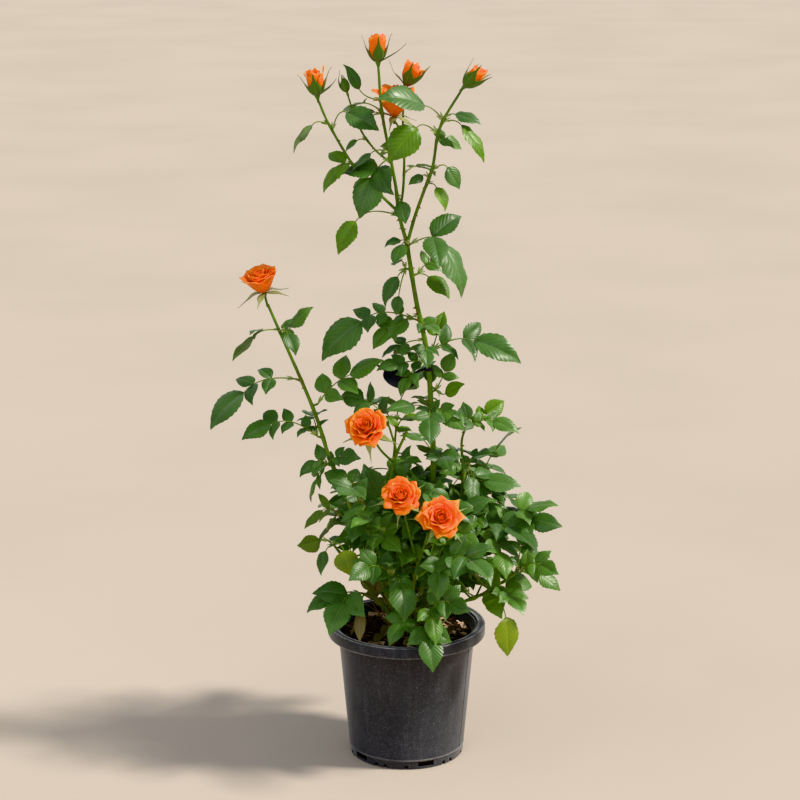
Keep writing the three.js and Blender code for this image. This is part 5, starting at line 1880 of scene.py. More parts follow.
class PetalMaker:
    """Makes petals as closed sheets of a few dozen faces."""

    across = 9
    along = 8
    thick = 0.4
    stations = (0.0, 0.33, 0.72, 1.08)

    def sheet(self, petal: Petal, random: Seeded) -> Array:
        """The middle surface of a petal.

        Args:
            petal: the petal's sizes.
            random: gives the small differences between petals.

        Returns:
            A grid of points, along by across.
        """
        v = np.linspace(0, 1, self.along)[:, None]
        u = np.linspace(-1, 1, self.across)[None]
        notch = 0.65 * petal.point / petal.length * np.sin(u * 4 + random() * 6)
        v = v * (1 - 0.16 * u**2 * v) + (petal.point / petal.length * (1 - np.abs(u)) ** 2 + notch) * v**4
        fine = np.linspace(0, 1.25, 80)
        lean = np.interp(fine, self.stations, petal.leans)
        radius = petal.foot + np.cumsum(np.sin(lean)) * petal.length * 1.25 / 80
        height = petal.rise + np.cumsum(np.cos(lean)) * petal.length * 1.25 / 80
        r, z = np.interp(v, fine, radius), np.interp(v, fine, height)
        theta = np.interp(v, fine, lean)
        half = petal.width * self.half_width(v)
        bend = np.maximum(np.abs(r), petal.width * 0.35) * petal.wrap
        angle = u * half / bend
        side = bend * np.sin(angle)
        inward = bend * (1 - np.cos(angle)) - petal.reflex * np.abs(u) ** 2.5 * v**2 * petal.width
        inward = inward + np.sin(u * 5.5 + random() * 6) * v**3 * petal.width * petal.ruffle
        radial = r - inward * np.cos(theta)
        z = z + inward * np.sin(theta)
        x, y = cos(petal.azimuth), sin(petal.azimuth)
        return np.stack([radial * x - side * y, radial * y + side * x, z], axis=-1)

    def half_width(self, share: Array) -> Array:
        """The half width at a share of the length, where 1 is the greatest."""
        swell = 0.28 + 0.72 * np.sin(np.pi / 2 * np.minimum(1, share / 0.66))
        return swell * (1 - 0.34 * smooth(0.7, 1.1, share) ** 2)

    def solid(self, petal: Petal, random: Seeded) -> tuple[Array, Array]:
        """A petal's points and faces: its outer and inner sheet by turns, and the edge between them.

        Args:
            petal: the petal's sizes.
            random: gives its small differences.

        Returns:
            The points, and for each face the numbers of its points.
        """
        grid = self.sheet(petal, random)
        normal = np.cross(np.gradient(grid, axis=1), np.gradient(grid, axis=0))
        normal *= self.thick / 2 / (np.linalg.norm(normal, axis=-1, keepdims=True) + 1e-9)
        points = np.stack([grid + normal, grid - normal]).reshape(-1, 3)
        size = self.along * self.across
        grid = np.arange(size).reshape(self.along, self.across)
        quads = np.stack([grid[:-1, :-1], grid[:-1, 1:], grid[1:, 1:], grid[1:, :-1]], axis=-1).reshape(-1, 4)
        loop = np.concatenate([grid[0], grid[1:, -1], grid[-1, -2::-1], grid[-2:0:-1, 0]])
        after = np.roll(loop, -1)
        sheets = np.stack([quads, quads[:, ::-1] + size], axis=1).reshape(-1, 4)
        return points, np.vstack([sheets, np.stack([after, loop, loop + size, after + size], axis=1)])

    def uv(self) -> Array:
        """The place along and across of each point of a petal.

        Returns:
            One row for each point.
        """
        v = np.repeat(np.linspace(0, 1, self.along), self.across)
        u = np.tile(np.linspace(0, 1, self.across), self.along)
        return np.tile(np.stack([v, u], axis=1), (2, 1))


class SepalMaker(PetalMaker):
    """Makes sepals: broad at the foot, with a long tip as thin as a thread."""

    across = 5
    along = 11
    thick = 0.6
    outline = (
        (0, 0.42), (0.1, 0.72), (0.24, 0.98), (0.36, 1.0), (0.48, 0.74), (0.58, 0.42), (0.68, 0.2),
        (0.84, 0.11), (1.0, 0.03),
    )

    def half_width(self, share: Array) -> Array:
        """The half width at a share of the length, where 1 is the greatest."""
        return np.interp(share, *zip(*self.outline))


# A petal's lean in degrees at its root, lower part, upper part and lip, each for four shares of openness
OPENNESS = (0.15, 0.45, 0.7, 1.0)
HEART_LEANS = ((60, 50, 42, 40), (12, 8, 4, 2), (-18, -14, -10, -14), (-8, -6, 8, -18))
OUTSIDE_LEANS = ((50, 56, 58, 60), (21, 26, 32, 54), (-5, 4, 30, 62), (14, 60, 98, 112))
SHUT_LEANS = (52, 4, -32, -8)
LOOSE_LEANS = (66, 64, 58, 44)
SPREAD_LEANS = {
    0.0: (40, 20, 4, 10), 0.25: (62, 66, 60, 40), 0.5: (56, 58, 62, 60), 0.65: (80, 108, 120, 112),
    1.0: (72, 104, 118, 130),
}
SEPAL_TURNS = (0.1, 0.3, 0.5, 0.7, 0.9)
LOOSE_BUD_TURNS = (0.04, 0.28, 0.52, 0.76, 0.9)


@dataclass
class FlowerHead:
    """A bud or bloom on its stalk: hip, sepals and petals, in its own frame and then turned into place."""

    name: str
    base: Array
    axis: Array
    flower: Flower
    seed: int
    hip_radius: float = 4.2
    hip_height: float = 9.5

    def __post_init__(self) -> None:
        """Works out how the flower is turned."""
        self.turn = np.array(Vector(UP).rotation_difference(Vector(self.axis)).to_matrix())
        self.scale = min(1.0, self.flower.radius / 15)

    def to_plant(self, points: Array) -> Array:
        """Points of the flower's own frame, carried to the plant."""
        return points @ self.turn.T + self.base

    def leans(self, out: float, change: float) -> tuple[float, ...]:
        """How a petal leans.

        Args:
            out: its place from the heart, 0, to the outside, 1.
            change: degrees less at its root, more at its upper part and twice more at its lip.

        Returns:
            Its four leans, in radians.
        """
        leans = []
        for heart, outside in zip(HEART_LEANS, OUTSIDE_LEANS):
            inner, outer = (np.interp(self.flower.open, OPENNESS, row) for row in (heart, outside))
            leans.append(radians(inner + (outer - inner) * out**1.25 + change * (len(leans) - 1)))
        return tuple(leans)

    def petals(self) -> list[Petal]:
        """The petals, from the heart outwards.

        Returns:
            A row for each petal.
        """
        flower = self.flower
        random = Seeded(self.seed + 3)
        openness = flower.open
        count = int(11 + 15 * openness)
        petals = []
        for i in range(count):
            out = i / (count - 1)
            share = np.interp(openness, (0.3, 1), (1 - 0.06 * (1 - out), 0.6 + 0.38 * out))
            length = flower.height * share * random.between(0.85 if openness < 0.3 else 0.93, 1.06)
            narrow = np.interp(openness, (0, 0.4, 1), (0.98, 0.9, 0.32 + 0.3 * out))
            petals.append(Petal(
                azimuth=i * GOLDEN_ANGLE + random.between(-0.22, 0.22),
                foot=1.0 + 2.4 * out * self.scale,
                rise=self.hip_height * self.scale - 2.5 + 1.5 * (1 - out),
                length=length,
                width=flower.radius * narrow * random.between(0.92, 1.12),
                leans=self.leans(out, random.between(-6, 6)),
                wrap=np.interp(openness, (0.3, 1), (1.04, 1.0 + 0.8 * out)),
                reflex=np.interp(openness, (0.3, 1), (0.06, 0.05 + 0.5 * out**2)),
                point=(3.0 + 4.5 * out * random()) * self.scale,
                ruffle=0.075 + 0.03 * (1 - openness),
            ))
        return petals

    def petal_object(self) -> Object:
        """All petals as one mesh, deeper in tone towards the heart.

        Returns:
            The mesh object.
        """
        petals = self.petals()
        random = Seeded(self.seed)
        shades = [(1 - number / len(petals)) * 0.7 + 0.3 * random() for number in range(len(petals))]
        sheets = [(self, petal, shade) for petal, shade in zip(petals, shades)]
        return sheets_object(self.name, PetalMaker(), sheets, random)

    def hip_object(self) -> Object:
        """The green hip under the petals, turned from its profile.

        Returns:
            The mesh object.
        """
        radius, height = self.hip_radius * self.scale, self.hip_height * self.scale
        profile = [
            (0, -5), (1.6, -5), (1.9, -1), (radius * 0.68, height * 0.2), (radius * 0.96, height * 0.5),
            (radius, height * 0.68), (radius * 0.85, height * 0.9), (radius * 0.9, height), (0, height * 1.1),
        ]
        return self.green_part("hip", profile)

    def bud_object(self) -> Object:
        """The green body of a bud that is still shut, inside its sepals.

        Returns:
            The mesh object.
        """
        radius, height = self.flower.radius * 0.95, self.flower.height
        profile = [
            (0, 4), (radius * 0.6, 5), (radius, height * 0.42), (radius * 0.75, height * 0.68),
            (radius * 0.25, height * 0.93), (0, height),
        ]
        return self.green_part("bud", profile)

    def green_part(self, kind: str, profile: list[tuple[float, float]]) -> Object:
        """A part turned from its profile, in its place on the plant.

        Args:
            kind: what the part is, for its name.
            profile: its radii and heights.

        Returns:
            The mesh object.
        """
        obj = turned_object(self.name.replace("petals", kind), profile, 20)
        matrix = Matrix(self.turn.tolist()).to_4x4()
        matrix.translation = Vector(self.base) * MM
        obj.data.transform(matrix)
        return obj

    def sepals(self) -> list[Petal]:
        """Five sepals: they cup a bud, but for a loose one, and stand out or hang under a bloom.

        Returns:
            A row for each sepal.
        """
        random = Seeded(self.seed + 1)
        flower = self.flower
        loose = 4 if flower.open >= 0.2 else -1
        turns = LOOSE_BUD_TURNS if 0.2 <= flower.open < 0.3 else SEPAL_TURNS
        sepals = []
        for i in range(5):
            length = 46 * self.scale * random.between(0.88, 1.12)
            spread = flower.open >= 0.3 or i == loose
            width = 5.6 if spread else 10.4
            if 0.3 < flower.open < 0.6 and i not in (1, 2):
                leans = [50, 26, 16 + random.between(-6, 10), 34]
                width = 9.6
            elif spread:
                levels = sorted(SPREAD_LEANS)
                rows = zip(*(SPREAD_LEANS[level] for level in levels))
                leans = [np.interp(flower.open, levels, row) + random.between(-22, 22) for row in rows]
                if flower.open < 0.3:
                    leans = LOOSE_LEANS
                    length *= 1.14
            elif flower.open > 0:
                length = flower.height * random.between(1.12, 1.3)
                places = np.array(PetalMaker.stations) * length / flower.height
                outer = [degrees(lean) for lean in self.leans(1.0, 0.0)]
                leans = np.interp(places, PetalMaker.stations, outer)
                leans = leans + np.array((5, 2, random.between(2, 14), random.between(4, 34)))
            else:
                length = flower.height * (1.6 if i == 2 else 1.25)
                leans = SHUT_LEANS
            sepals.append(Petal(
                azimuth=turns[i] * 2 * pi + random.between(-0.15, 0.15),
                foot=(3.4 if flower.open > 0 else 2.6) * self.scale + 0.9,
                rise=self.hip_height * self.scale - 3.2,
                length=length,
                width=width * self.scale * random.between(0.9, 1.1),
                leans=tuple(radians(lean) for lean in leans),
                wrap=1.08,
            ))
        return sepals


def sheets_object(name: str, maker: PetalMaker, sheets: list[tuple[FlowerHead, Petal, float]],
                  random: Seeded) -> Object:
    """Petals or sepals as one mesh.

    Args:
        name: the piece's name.
        maker: makes each of them.
        sheets: the flower, the petal and the shade of each.
        random: gives the small differences between them.

    Returns:
        The mesh object, whose faces carry the values "shade" and "under", where under is the outer side.
    """
    solids = [maker.solid(petal, random) for _, petal, _ in sheets]
    points = [head.to_plant(solid) for (head, _, _), (solid, _) in zip(sheets, solids)]
    faces = [sides + number * len(solid) for number, (solid, sides) in enumerate(solids)]
    obj = mesh_object(name, np.vstack(points), np.vstack(faces).tolist())
    mesh = obj.data
    layer = mesh.uv_layers.new(name="blade")
    corner = np.zeros(len(mesh.loops), np.int32)
    mesh.loops.foreach_get("vertex_index", corner)
    layer.data.foreach_set("uv", np.tile(maker.uv(), (len(sheets), 1))[corner].ravel())
    under = [1.0, 0.0] * ((maker.along - 1) * (maker.across - 1))
    under += [0.5] * (len(faces[0]) - len(under))
    face_values(mesh, "under", np.tile(under, len(sheets)))
    face_values(mesh, "shade", np.repeat([shade for _, _, shade in sheets], len(under)))
    return obj


class Flowers:
    """Every bud and bloom, with its hip, sepals and stalk."""

    def __init__(self, growth: Growth) -> None:
        """Finds where each flower sits.

        Args:
            growth: what the flowers sit on.
        """
        self.heads: list[tuple[FlowerHead, str]] = []
        self.stalks: list[Tube] = []
        for name, shoot in FLOWER_SHOOTS.items():
            route = growth.limbs[name]
            self.add(name, name, route.point(1.0), shoot.bud, route.tangent(1.0))
            if shoot.side_bloom:
                side = shoot.side_bloom
                base = np.array(side.base, float)
                start = route.point(route.share_at_height(side.at))
                bend = (start + base) / 2
                bend[2] = base[2] - 8
                self.stalks.append((Arch((start, bend, base)).spaced(9), 1.6, 1.5))
                self.add(name + "_side", name, base, side.flower, UP)
        for name, bloom in BLOOMS.items():
            route = Route(bloom.stalk)
            self.stalks.append((route.spaced(14), 1.9, 1.8))
            self.add(name, name, route.point(1.0), bloom.flower, UP)

    def add(self, name: str, node: str, base: Array, flower: Flower, way: Array) -> None:
        """Keeps one flower: its name, its node, and where it sits."""
        axis = unit(np.array(flower.lean, float)) if flower.lean else way
        self.heads.append((FlowerHead(name + "_petals", base, axis, flower, 200 + 7 * len(self.heads)), node))

    def build(self, effects: Effects) -> None:
        """Makes and dresses every flower.

        Args:
            effects: the patterns that finishes share.
        """
        petal = PETAL_FINISH.build(effects)
        green = HIP_FINISH.build(effects)
        random = Seeded(61)
        sepals = []
        for head, node in self.heads:
            if head.flower.open > 0:
                place(head.petal_object(), "petal", [node], petal)
            place(head.hip_object(), "leaf", [node], green)
            sepals += [(head, sepal, random()) for sepal in head.sepals()]
        nodes = sorted({node for _, node in self.heads})
        obj = sheets_object("sepals", SepalMaker(), sepals, random)
        place(obj, "leaf", nodes, SEPAL_FINISH.build(effects))
        place(tubes_object("bloom_stalks", self.stalks, 8), "leaf", nodes, green)
        for head, _ in self.heads:
            if head.flower.open == 0:
                place(head.bud_object(), "leaf", [], green)


@dataclass
class NurseryPot:
    """The black nursery pot, worked out from the frame's pot."""

    wall: float = 2.8
    floor: float = 3.0
    rim_depth: float = 17.0
    rim_shelf: float = 12.0
    foot_inset: float = 34.0
    wall_inset: float = 16.5
    foot_height: float = 15.0
    ridge: float = 1.2
    slot_first: float = -70.0
    slots: int = 5
    slot_width: float = 26.0
    slot_height: float = 8.0
    slot_sill: float = 4.0
    notch_width: float = 5.5
    seam_at: float = -24.0
    crease: float = 34.0
    steps: int = 180

    def __post_init__(self) -> None:
        """Reads the rim's radius and the height from the frame."""
        low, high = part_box("pot")
        self.rim = (high.x - low.x) / 2 / MM
        self.height = high.z / MM
        self.base = self.rim - self.foot_inset
        self.top = self.rim - self.wall_inset

    def inner(self, z: float) -> float:
        """The radius inside the wall at a height."""
        return self.base + (self.top - self.base) * z / self.height - self.wall

    def profile(self) -> list[tuple[float, float]]:
        """The pot's section from the middle of its underside round to the middle of its floor.

        Returns:
            The radius and height of each corner.
        """
        rim, base, side, ridge, foot = self.rim, self.base, self.top, self.ridge, self.foot_height
        top, under = self.height, self.height - self.rim_depth
        skirt, shelf, inside = rim - self.wall, rim - self.rim_shelf, self.inner(under)
        return [
            (0, 1.2), (base - 9, 1.2), (base - 7, 0), (base - 1.2, 0), (base, 1.2),
            (base + 0.5, foot - ridge * 1.6), (base + ridge * 1.4, foot - ridge * 0.7),
            (base + ridge * 1.5, foot), (base + 1.2, foot + ridge), (side, under - 1.5),
            (side + 0.7, under + 2), (side + 0.9, top - self.wall), (skirt, top - self.wall),
            (skirt, under + 0.6), (skirt + 0.7, under), (rim - 0.6, under), (rim, under + 0.7),
            (rim, top - 1.6), (rim - 0.5, top - 0.5), (rim - 1.2, top), (rim - 3.2, top),
            (rim - 3.9, top - 0.8), (shelf + 4.0, top - 0.8), (shelf + 3.4, top), (shelf + 0.6, top),
            (shelf, top - 0.9), (inside + 1.2, under + 1), (inside, under - 5),
            (self.inner(self.floor), self.floor), (0, self.floor),
        ]

    def cutters(self) -> Object:
        """The drain slots and the small notches between them, as one body to cut with.

        Returns:
            The mesh object, which isn't part of the pot.
        """
        work = bmesh.new()
        slot = (self.slot_width, self.slot_sill, self.slot_height)
        notch = (self.notch_width, -2.0, 8.5)
        cuts = [(i, *slot) for i in range(self.slots)]
        cuts += [(i + share, *notch) for i in range(self.slots) for share in (0.28, 0.42, 0.72)]
        for number, width, sill, height in cuts:
            matrix = Matrix.Rotation(radians(self.slot_first + 360 / self.slots * number), 4, "Z")
            matrix @= Matrix.Translation((self.base * MM, 0, (sill + height / 2) * MM))
            matrix @= Matrix.Diagonal((4 * self.wall * MM, width * MM, height * MM, 1))
            bmesh.ops.create_cube(work, size=1, matrix=matrix)
        return bmesh_object("drain_cuts", work)

    def build(self, effects: Effects) -> None:
        """Makes and dresses the pot, with its drain slots cut through.

        Args:
            effects: the patterns that finishes share.
        """
        obj = turned_object("pot_shell", self.profile(), self.steps)
        cutter = self.cutters()
        cut = obj.modifiers.new("drains", "BOOLEAN")
        cut.operation = "DIFFERENCE"
        cut.solver = "EXACT"
        cut.object = cutter
        graph = bpy.context.evaluated_depsgraph_get()
        mesh = bpy.data.meshes.new_from_object(obj.evaluated_get(graph))
        obj.modifiers.clear()
        obj.data = mesh
        bpy.data.objects.remove(cutter)
        mesh.name = "pot_shell"
        crease_by_angle(mesh, self.crease)
        place(obj, "pot", ["pot"], POT_FINISH.build(effects))
        place(self.seam(), "pot", [], POT_FINISH.build(effects))

    def seam(self) -> Object:
        """The faint moulding seam that runs down the pot's right side.

        Returns:
            The mesh object.
        """
        way = heading_at(radians(self.seam_at))
        foot = way * (self.base + 1.4) + UP * (self.foot_height + 3)
        head = way * (self.top - 0.1) + UP * (self.height - self.rim_depth - 3)
        return tubes_object("pot_seam", [(np.linspace(foot, head, 6), 0.55, 0.45)], 6)


def crease_by_angle(mesh: Mesh, angle: float) -> None:
    """Shades a mesh smooth, but for its sharper edges.

    Args:
        mesh: the mesh.
        angle: two faces that meet at more than this, in degrees, keep a crease.
    """
    work = bmesh.new()
    work.from_mesh(mesh)
    bmesh.ops.remove_doubles(work, verts=work.verts, dist=1e-6)
    limit = radians(angle)
    for edge in work.edges:
        edge.smooth = len(edge.link_faces) != 2 or edge.calc_face_angle(0) < limit
    for face in work.faces:
        face.smooth = True
    work.to_mesh(mesh)
    work.free()


@dataclass
class Soil:
    """The potting mix in the pot, with bark chips, litter and bits of twig on it, and the stump."""

    pot: NurseryPot
    crown: float = 5.0
    chips: int = 520
    litter: int = 18
    sticks: int = 40
    dead_shoots: int = 46

    def __post_init__(self) -> None:
        """Reads the soil's top from the frame."""
        self.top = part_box("soil")[1].z / MM - self.crown
        self.radius = self.pot.inner(self.top) - 0.3

    def height(self, x: float, y: float) -> float:
        """How high the soil is at a place.

        Args:
            x: how far to the right.
            y: how far to the back.

        Returns:
            The height, in millimetres.
        """
        away = hypot(x, y) / self.radius
        lumps = noise.noise(Vector((x, y, 0)) * 0.055) * 3.2 + noise.noise(Vector((x, y, 5)) * 0.2) * 1.3
        mound = self.crown * 0.9 * (1 - away**2) - 2.2 * away**4
        return self.top + mound + lumps * min(1.0, 5 * (1 - away) + 0.3)

    def bed(self) -> Object:
        """The body of soil, with a lumpy top.

        Returns:
            The mesh object.
        """
        rings = 44
        profile = [(0, 4), (self.pot.inner(4) - 1.3, 4), (self.radius - 0.8, self.top - 6)]
        profile += [(self.radius * (1 - i / rings), self.top + 1) for i in range(rings + 1)]
        obj = turned_object("potting_mix", profile, 120)
        for vertex in obj.data.vertices:
            if vertex.co.z > self.top * MM:
                vertex.co.z = self.height(vertex.co.x / MM, vertex.co.y / MM) * MM
        obj.data.update()
        return obj

    def scatter(self, random: np.random.Generator, count: int, reach: float) -> Array:
        """Places spread evenly over the soil.

        Args:
            random: gives the places.
            count: how many.
            reach: how far from the middle they go, in millimetres.

        Returns:
            The x and y of each.
        """
        away = np.sqrt(random.uniform(0.03, 1, count)) * reach
        angle = random.uniform(0, 2 * pi, count)
        return np.stack([away * np.cos(angle), away * np.sin(angle)], axis=1)

    def chip_object(self) -> Object:
        """Bark chips as rough flat shards, some of them standing up, as one mesh.

        Returns:
            The mesh object.
        """
        random = np.random.default_rng(17)
        spots = self.scatter(random, self.chips, self.radius - 5)
        corners = np.array([(x, y, z) for z in (-1, 1) for y in (-1, 1) for x in (-1, 1)], float)
        box = np.array([(0, 2, 3), (0, 3, 1), (4, 5, 7), (4, 7, 6), (0, 1, 5), (0, 5, 4),
                        (2, 6, 7), (2, 7, 3), (0, 4, 6), (0, 6, 2), (1, 3, 7), (1, 7, 5)])
        points, faces, shades = [], [], []
        for i, (x, y) in enumerate(spots):
            size = random.uniform(1.8, 6.5) * (1 if i % 5 else 1.6)
            shape = corners * (size, size * random.uniform(0.35, 0.7), size * random.uniform(0.12, 0.25))
            shape = shape + random.normal(0, size * 0.12, shape.shape)
            turn = Matrix.Rotation(random.uniform(0, 6.28), 3, "Z")
            turn @= Matrix.Rotation(random.normal(0, 0.4), 3, "X")
            turn @= Matrix.Rotation(random.normal(0, 0.35), 3, "Y")
            points.append(shape @ np.array(turn).T + (x, y, self.height(x, y) + size * 0.12))
            faces.append(box + 8 * i)
            cluster = noise.noise(Vector((x, y, 9)) * 0.05) + 0.5 * x / self.radius
            shades.append(np.full(len(box), min(1.0, random.uniform(0, 0.76) + 0.85 * max(0.0, cluster))))
        obj = mesh_object("bark_chips", np.vstack(points), np.vstack(faces).tolist())
        obj.data.polygons.foreach_set("use_smooth", np.zeros(len(obj.data.polygons), bool))
        face_values(obj.data, "shade", np.concatenate(shades))
        return obj

    def litter_blades(self) -> list[Blade]:
        """Dried leaflets that lie curled on the soil.

        Returns:
            A row for each leaflet.
        """
        random = np.random.default_rng(23)
        blades = []
        for x, y in self.scatter(random, self.litter, self.radius - 16):
            way = heading_at(random.uniform(0, 2 * pi), random.uniform(0.0, 0.4))
            face = unit(np.array((random.normal(0, 0.3), random.normal(0, 0.3), 1.0)))
            root = np.array((x, y, self.height(x, y) + 3))
            blades.append(Blade(root, way, face, random.uniform(14, 30), curl=0.5, fold=1.0, width=0.8))
        return blades

    def stick_object(self) -> Object:
        """Bits of dry twig on the soil, and dead shoots that stand round the stump, as one mesh.

        Returns:
            The mesh object.
        """
        random = np.random.default_rng(29)
        tubes = []
        for x, y in self.scatter(random, self.sticks, self.radius - 24):
            way = heading_at(random.uniform(0, 2 * pi), random.uniform(-0.1, 0.18))
            start = np.array((x, y, self.height(x, y) + 2))
            length = random.uniform(12, 34)
            middle = start + way * length / 2 + (0, 0, random.uniform(0, 2))
            tubes.append((Route((start, middle, start + way * length)).spaced(5), 0.9, 0.5))
        for i in range(self.dead_shoots):
            out = heading_at(GOLDEN_ANGLE * i)
            foot = out * random.uniform(8, 34)
            start = foot + UP * self.height(foot[0], foot[1])
            length = random.uniform(30, 84)
            end = start + unit(out * random.uniform(0.2, 1.1) + UP) * length
            middle = (start + end) / 2 + random.normal(0, 0.07 * length, 3)
            tubes.append((Route((start, middle, end)).spaced(6), 1.1, 0.45))
        return tubes_object("dry_twigs", tubes, 5)

    def stump(self) -> Object:
        """The woody stump that the canes rise from.

        Returns:
            The mesh object.
        """
        low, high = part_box("stump")
        radius, foot, top = (high.x - low.x) / 2 / MM / 1.15, low.z / MM, high.z / MM
        rise = top - foot
        profile = [(0, foot), (radius * 1.12, foot)]
        profile += [(radius * width, foot + rise * share) for share, width in (
            (0.1, 1.08), (0.22, 1.0), (0.36, 0.95), (0.5, 0.93), (0.64, 0.92), (0.76, 0.86), (0.86, 0.76),
            (0.94, 0.6), (0.985, 0.4), (1.0, 0.2),
        )]
        obj = turned_object("woody_stump", profile + [(0, top)], 40)
        for vertex in obj.data.vertices:
            if vertex.co.z < (foot + 0.5) * MM:
                continue
            bump = noise.noise(vertex.co * 120) * 0.6 + noise.noise(vertex.co * 420) * 0.4 - 0.25
            vertex.co += vertex.normal * bump * 1.6 * MM
        return obj

    def build(self, effects: Effects) -> None:
        """Makes and dresses the soil, what lies on it and the stump.

        Args:
            effects: the patterns that finishes share.
        """
        place(self.bed(), "soil", ["soil"], SOIL_FINISH.build(effects))
        place(self.chip_object(), "soil", ["soil"], CHIP_FINISH.build(effects))
        litter = blades_object("leaf_litter", LEAFLET, self.litter_blades(), 71)
        place(litter, "leaf", [], LEAF_FINISHES[DRY].build(effects))
        place(self.stick_object(), "stump", [], STICK_FINISH.build(effects))
        place(self.stump(), "stump", ["stump"], STUMP_FINISH.build(effects))


@dataclass
class StemLabel:
    """The plain plastic loop label beside the main cane."""

    height: float = 630.0
    radius: float = 26.0
    squash: float = 0.62
    thick: float = 1.2
    middle: Point = (-12, 14, 612)
    swing: float = 0.35
    nod: float = -0.5
    tail: tuple[Point, ...] = ((-30, 14, 622), (-58, 12, 638), (-84, 8, 628))
    strap: float = 1.8
    ring_inner: float = 4.9
    ring_thick: float = 1.6
    ring_height: float = 6.0
    crease: float = 40.0

    def plate(self) -> Object:
        """The oval plate: a disc that is drawn out, given its thickness and turned into place.

        Returns:
            The mesh object.
        """
        work = bmesh.new()
        disc = bmesh.ops.create_circle(work, cap_ends=True, segments=48, radius=self.radius * MM)
        bmesh.ops.scale(work, vec=(1, self.squash, 1), verts=disc["verts"])
        bmesh.ops.solidify(work, geom=work.faces[:], thickness=self.thick * MM)
        rim = [edge for edge in work.edges if edge.calc_face_angle(0) > 1]
        bmesh.ops.bevel(
            work, geom=rim, offset=0.35 * MM, affect="EDGES", segments=2, profile=0.5, material=-1,
        )
        turn = Matrix.Rotation(self.nod, 4, "X") @ Matrix.Rotation(self.swing, 4, "Y")
        turn = turn @ Matrix.Rotation(pi / 2, 4, "X")
        turn = Matrix.Translation(Vector(self.middle) * MM) @ turn
        bmesh.ops.transform(work, matrix=turn, verts=work.verts)
        bmesh.ops.recalc_face_normals(work, faces=work.faces)
        obj = bmesh_object("label_plate", work)
        crease_by_angle(obj.data, self.crease)
        return obj

    def ring(self, cane: Route) -> Object:
        """The ring that holds the label on the cane.

        Args:
            cane: the main cane's route.

        Returns:
            The mesh object.
        """
        middle = cane.point(cane.share_at_height(self.height))
        outer, half = self.ring_inner + self.ring_thick, self.ring_height / 2
        section = [
            (self.ring_inner, -half), (outer - 0.4, -half), (outer, 0.4 - half), (outer, half - 0.4),
            (outer - 0.4, half), (self.ring_inner, half), (self.ring_inner, -half),
        ]
        obj = turned_object("label_ring", section, 40)
        obj.data.transform(Matrix.Translation(Vector(middle) * MM))
        crease_by_angle(obj.data, self.crease)
        return obj

    def strap_object(self, cane: Route) -> Object:
        """The strap between the ring and the plate, and its loose end, as one slim tube.

        Args:
            cane: the main cane's route.

        Returns:
            The mesh object.
        """
        middle = cane.point(cane.share_at_height(self.height))
        hold = (middle[0] - self.ring_inner - self.ring_thick / 2, middle[1], middle[2])
        line = Route((hold, self.middle, *self.tail)).spaced(30)
        return tubes_object("label_strap", [(line, self.strap, self.strap)], 8)

    def build(self, growth: Growth, effects: Effects) -> None:
        """Makes and dresses the label.

        Args:
            growth: holds the main cane's route.
            effects: the patterns that finishes share.
        """
        finish = LABEL_FINISH.build(effects)
        cane = growth.limbs["main_cane"]
        for obj in (self.plate(), self.ring(cane), self.strap_object(cane)):
            place(obj, "label", ["stem_label"], finish)


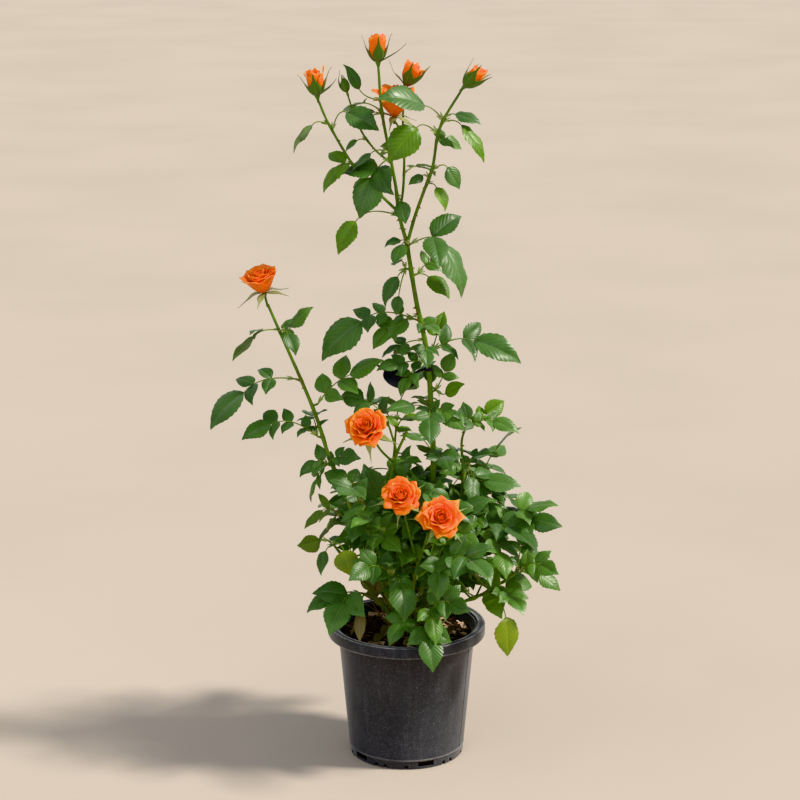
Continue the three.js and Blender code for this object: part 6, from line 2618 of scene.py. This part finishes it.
@dataclass
class Studio:
    """The pale floor, the soft lights and the camera at the photograph's angle."""

    camera_at: Point = (-0.0105, -3.4, 1.45)
    camera_dips: float = 14.35
    lens: float = 101.5
    sensor: float = 36.0
    floor_size: float = 60.0
    sun_from: Point = (1.0, -0.15, 1.05)
    sun_strength: float = 3.9
    sun_width: float = 9.0
    fill_at: Point = (-1.6, -2.8, 2.1)
    fill_towards: Point = (0, 0, 0.5)
    fill_size: float = 2.4
    fill_power: float = 20.0
    sky: float = 0.6

    def camera(self) -> None:
        """The camera, which looks level across the picture and a little down."""
        data = bpy.data.cameras.new("portrait")
        data.lens = self.lens
        data.sensor_width = self.sensor
        obj = new_object("portrait", data)
        obj.location = self.camera_at
        obj.rotation_euler = (radians(90 - self.camera_dips), 0, 0)
        bpy.context.scene.camera = obj

    def light(self, kind: str, name: str, way: Vector, power: float, colour: Colour) -> Object:
        """A lamp that shines along a way.

        Args:
            kind: the lamp's type.
            name: its name.
            way: the way that it shines.
            power: its energy.
            colour: its colour.

        Returns:
            The lamp's object.
        """
        data = bpy.data.lights.new(name, kind)
        data.energy = power
        data.color = colour
        obj = new_object(name, data)
        obj.rotation_euler = way.to_track_quat("-Z", "Y").to_euler()
        return obj

    def floor(self) -> None:
        """A plain pale floor."""
        work = bmesh.new()
        bmesh.ops.create_grid(work, x_segments=1, y_segments=1, size=self.floor_size / 2)
        obj = bmesh_object("floor", work)
        dress = Dress("pale_floor", Specular_IOR_Level=0.2)
        colour = dress.mix(dress.ranged(dress.noise(1.2), 0.3, 0.7), (0.5, 0.44, 0.38), (0.53, 0.465, 0.405))
        obj.data.materials.append(dress.wire(colour, 0.85, dress.noise(220.0), 0.0003, 0.3))

    def lamps(self) -> None:
        """A wide soft sun at the right, halfway up, and a weak soft light at the front left."""
        sun = self.light("SUN", "sun_side", -Vector(self.sun_from), self.sun_strength, (1.0, 0.93, 0.82))
        sun.data.angle = radians(self.sun_width)
        way = Vector(self.fill_towards) - Vector(self.fill_at)
        fill = self.light("AREA", "front_fill", way, self.fill_power, (0.95, 0.98, 1.0))
        fill.location = self.fill_at
        fill.data.size = self.fill_size

    def build(self) -> None:
        """Sets the camera, the floor, the lights and the sky."""
        self.camera()
        self.floor()
        self.lamps()
        world = bpy.data.worlds.new("studio")
        bpy.context.scene.world = world
        world.use_nodes = True
        background = world.node_tree.nodes["Background"]
        background.inputs["Color"].default_value = (0.96, 0.97, 1.0, 1)
        background.inputs["Strength"].default_value = self.sky
        bpy.context.scene.view_settings.view_transform = "Khronos PBR Neutral"


def main() -> None:
    """Builds the plant, its pot and the studio, in order."""
    logging.basicConfig(level=logging.INFO, format="%(name)s %(message)s")
    Studio().build()
    effects = Effects()
    growth = Growth()
    growth.grow()
    pot = NurseryPot()
    pot.build(effects)
    Soil(pot).build(effects)
    Stems(growth).build(effects)
    Foliage(growth).build(effects)
    Flowers(growth).build(effects)
    StemLabel().build(growth, effects)


if __name__ == "__main__":
    main()
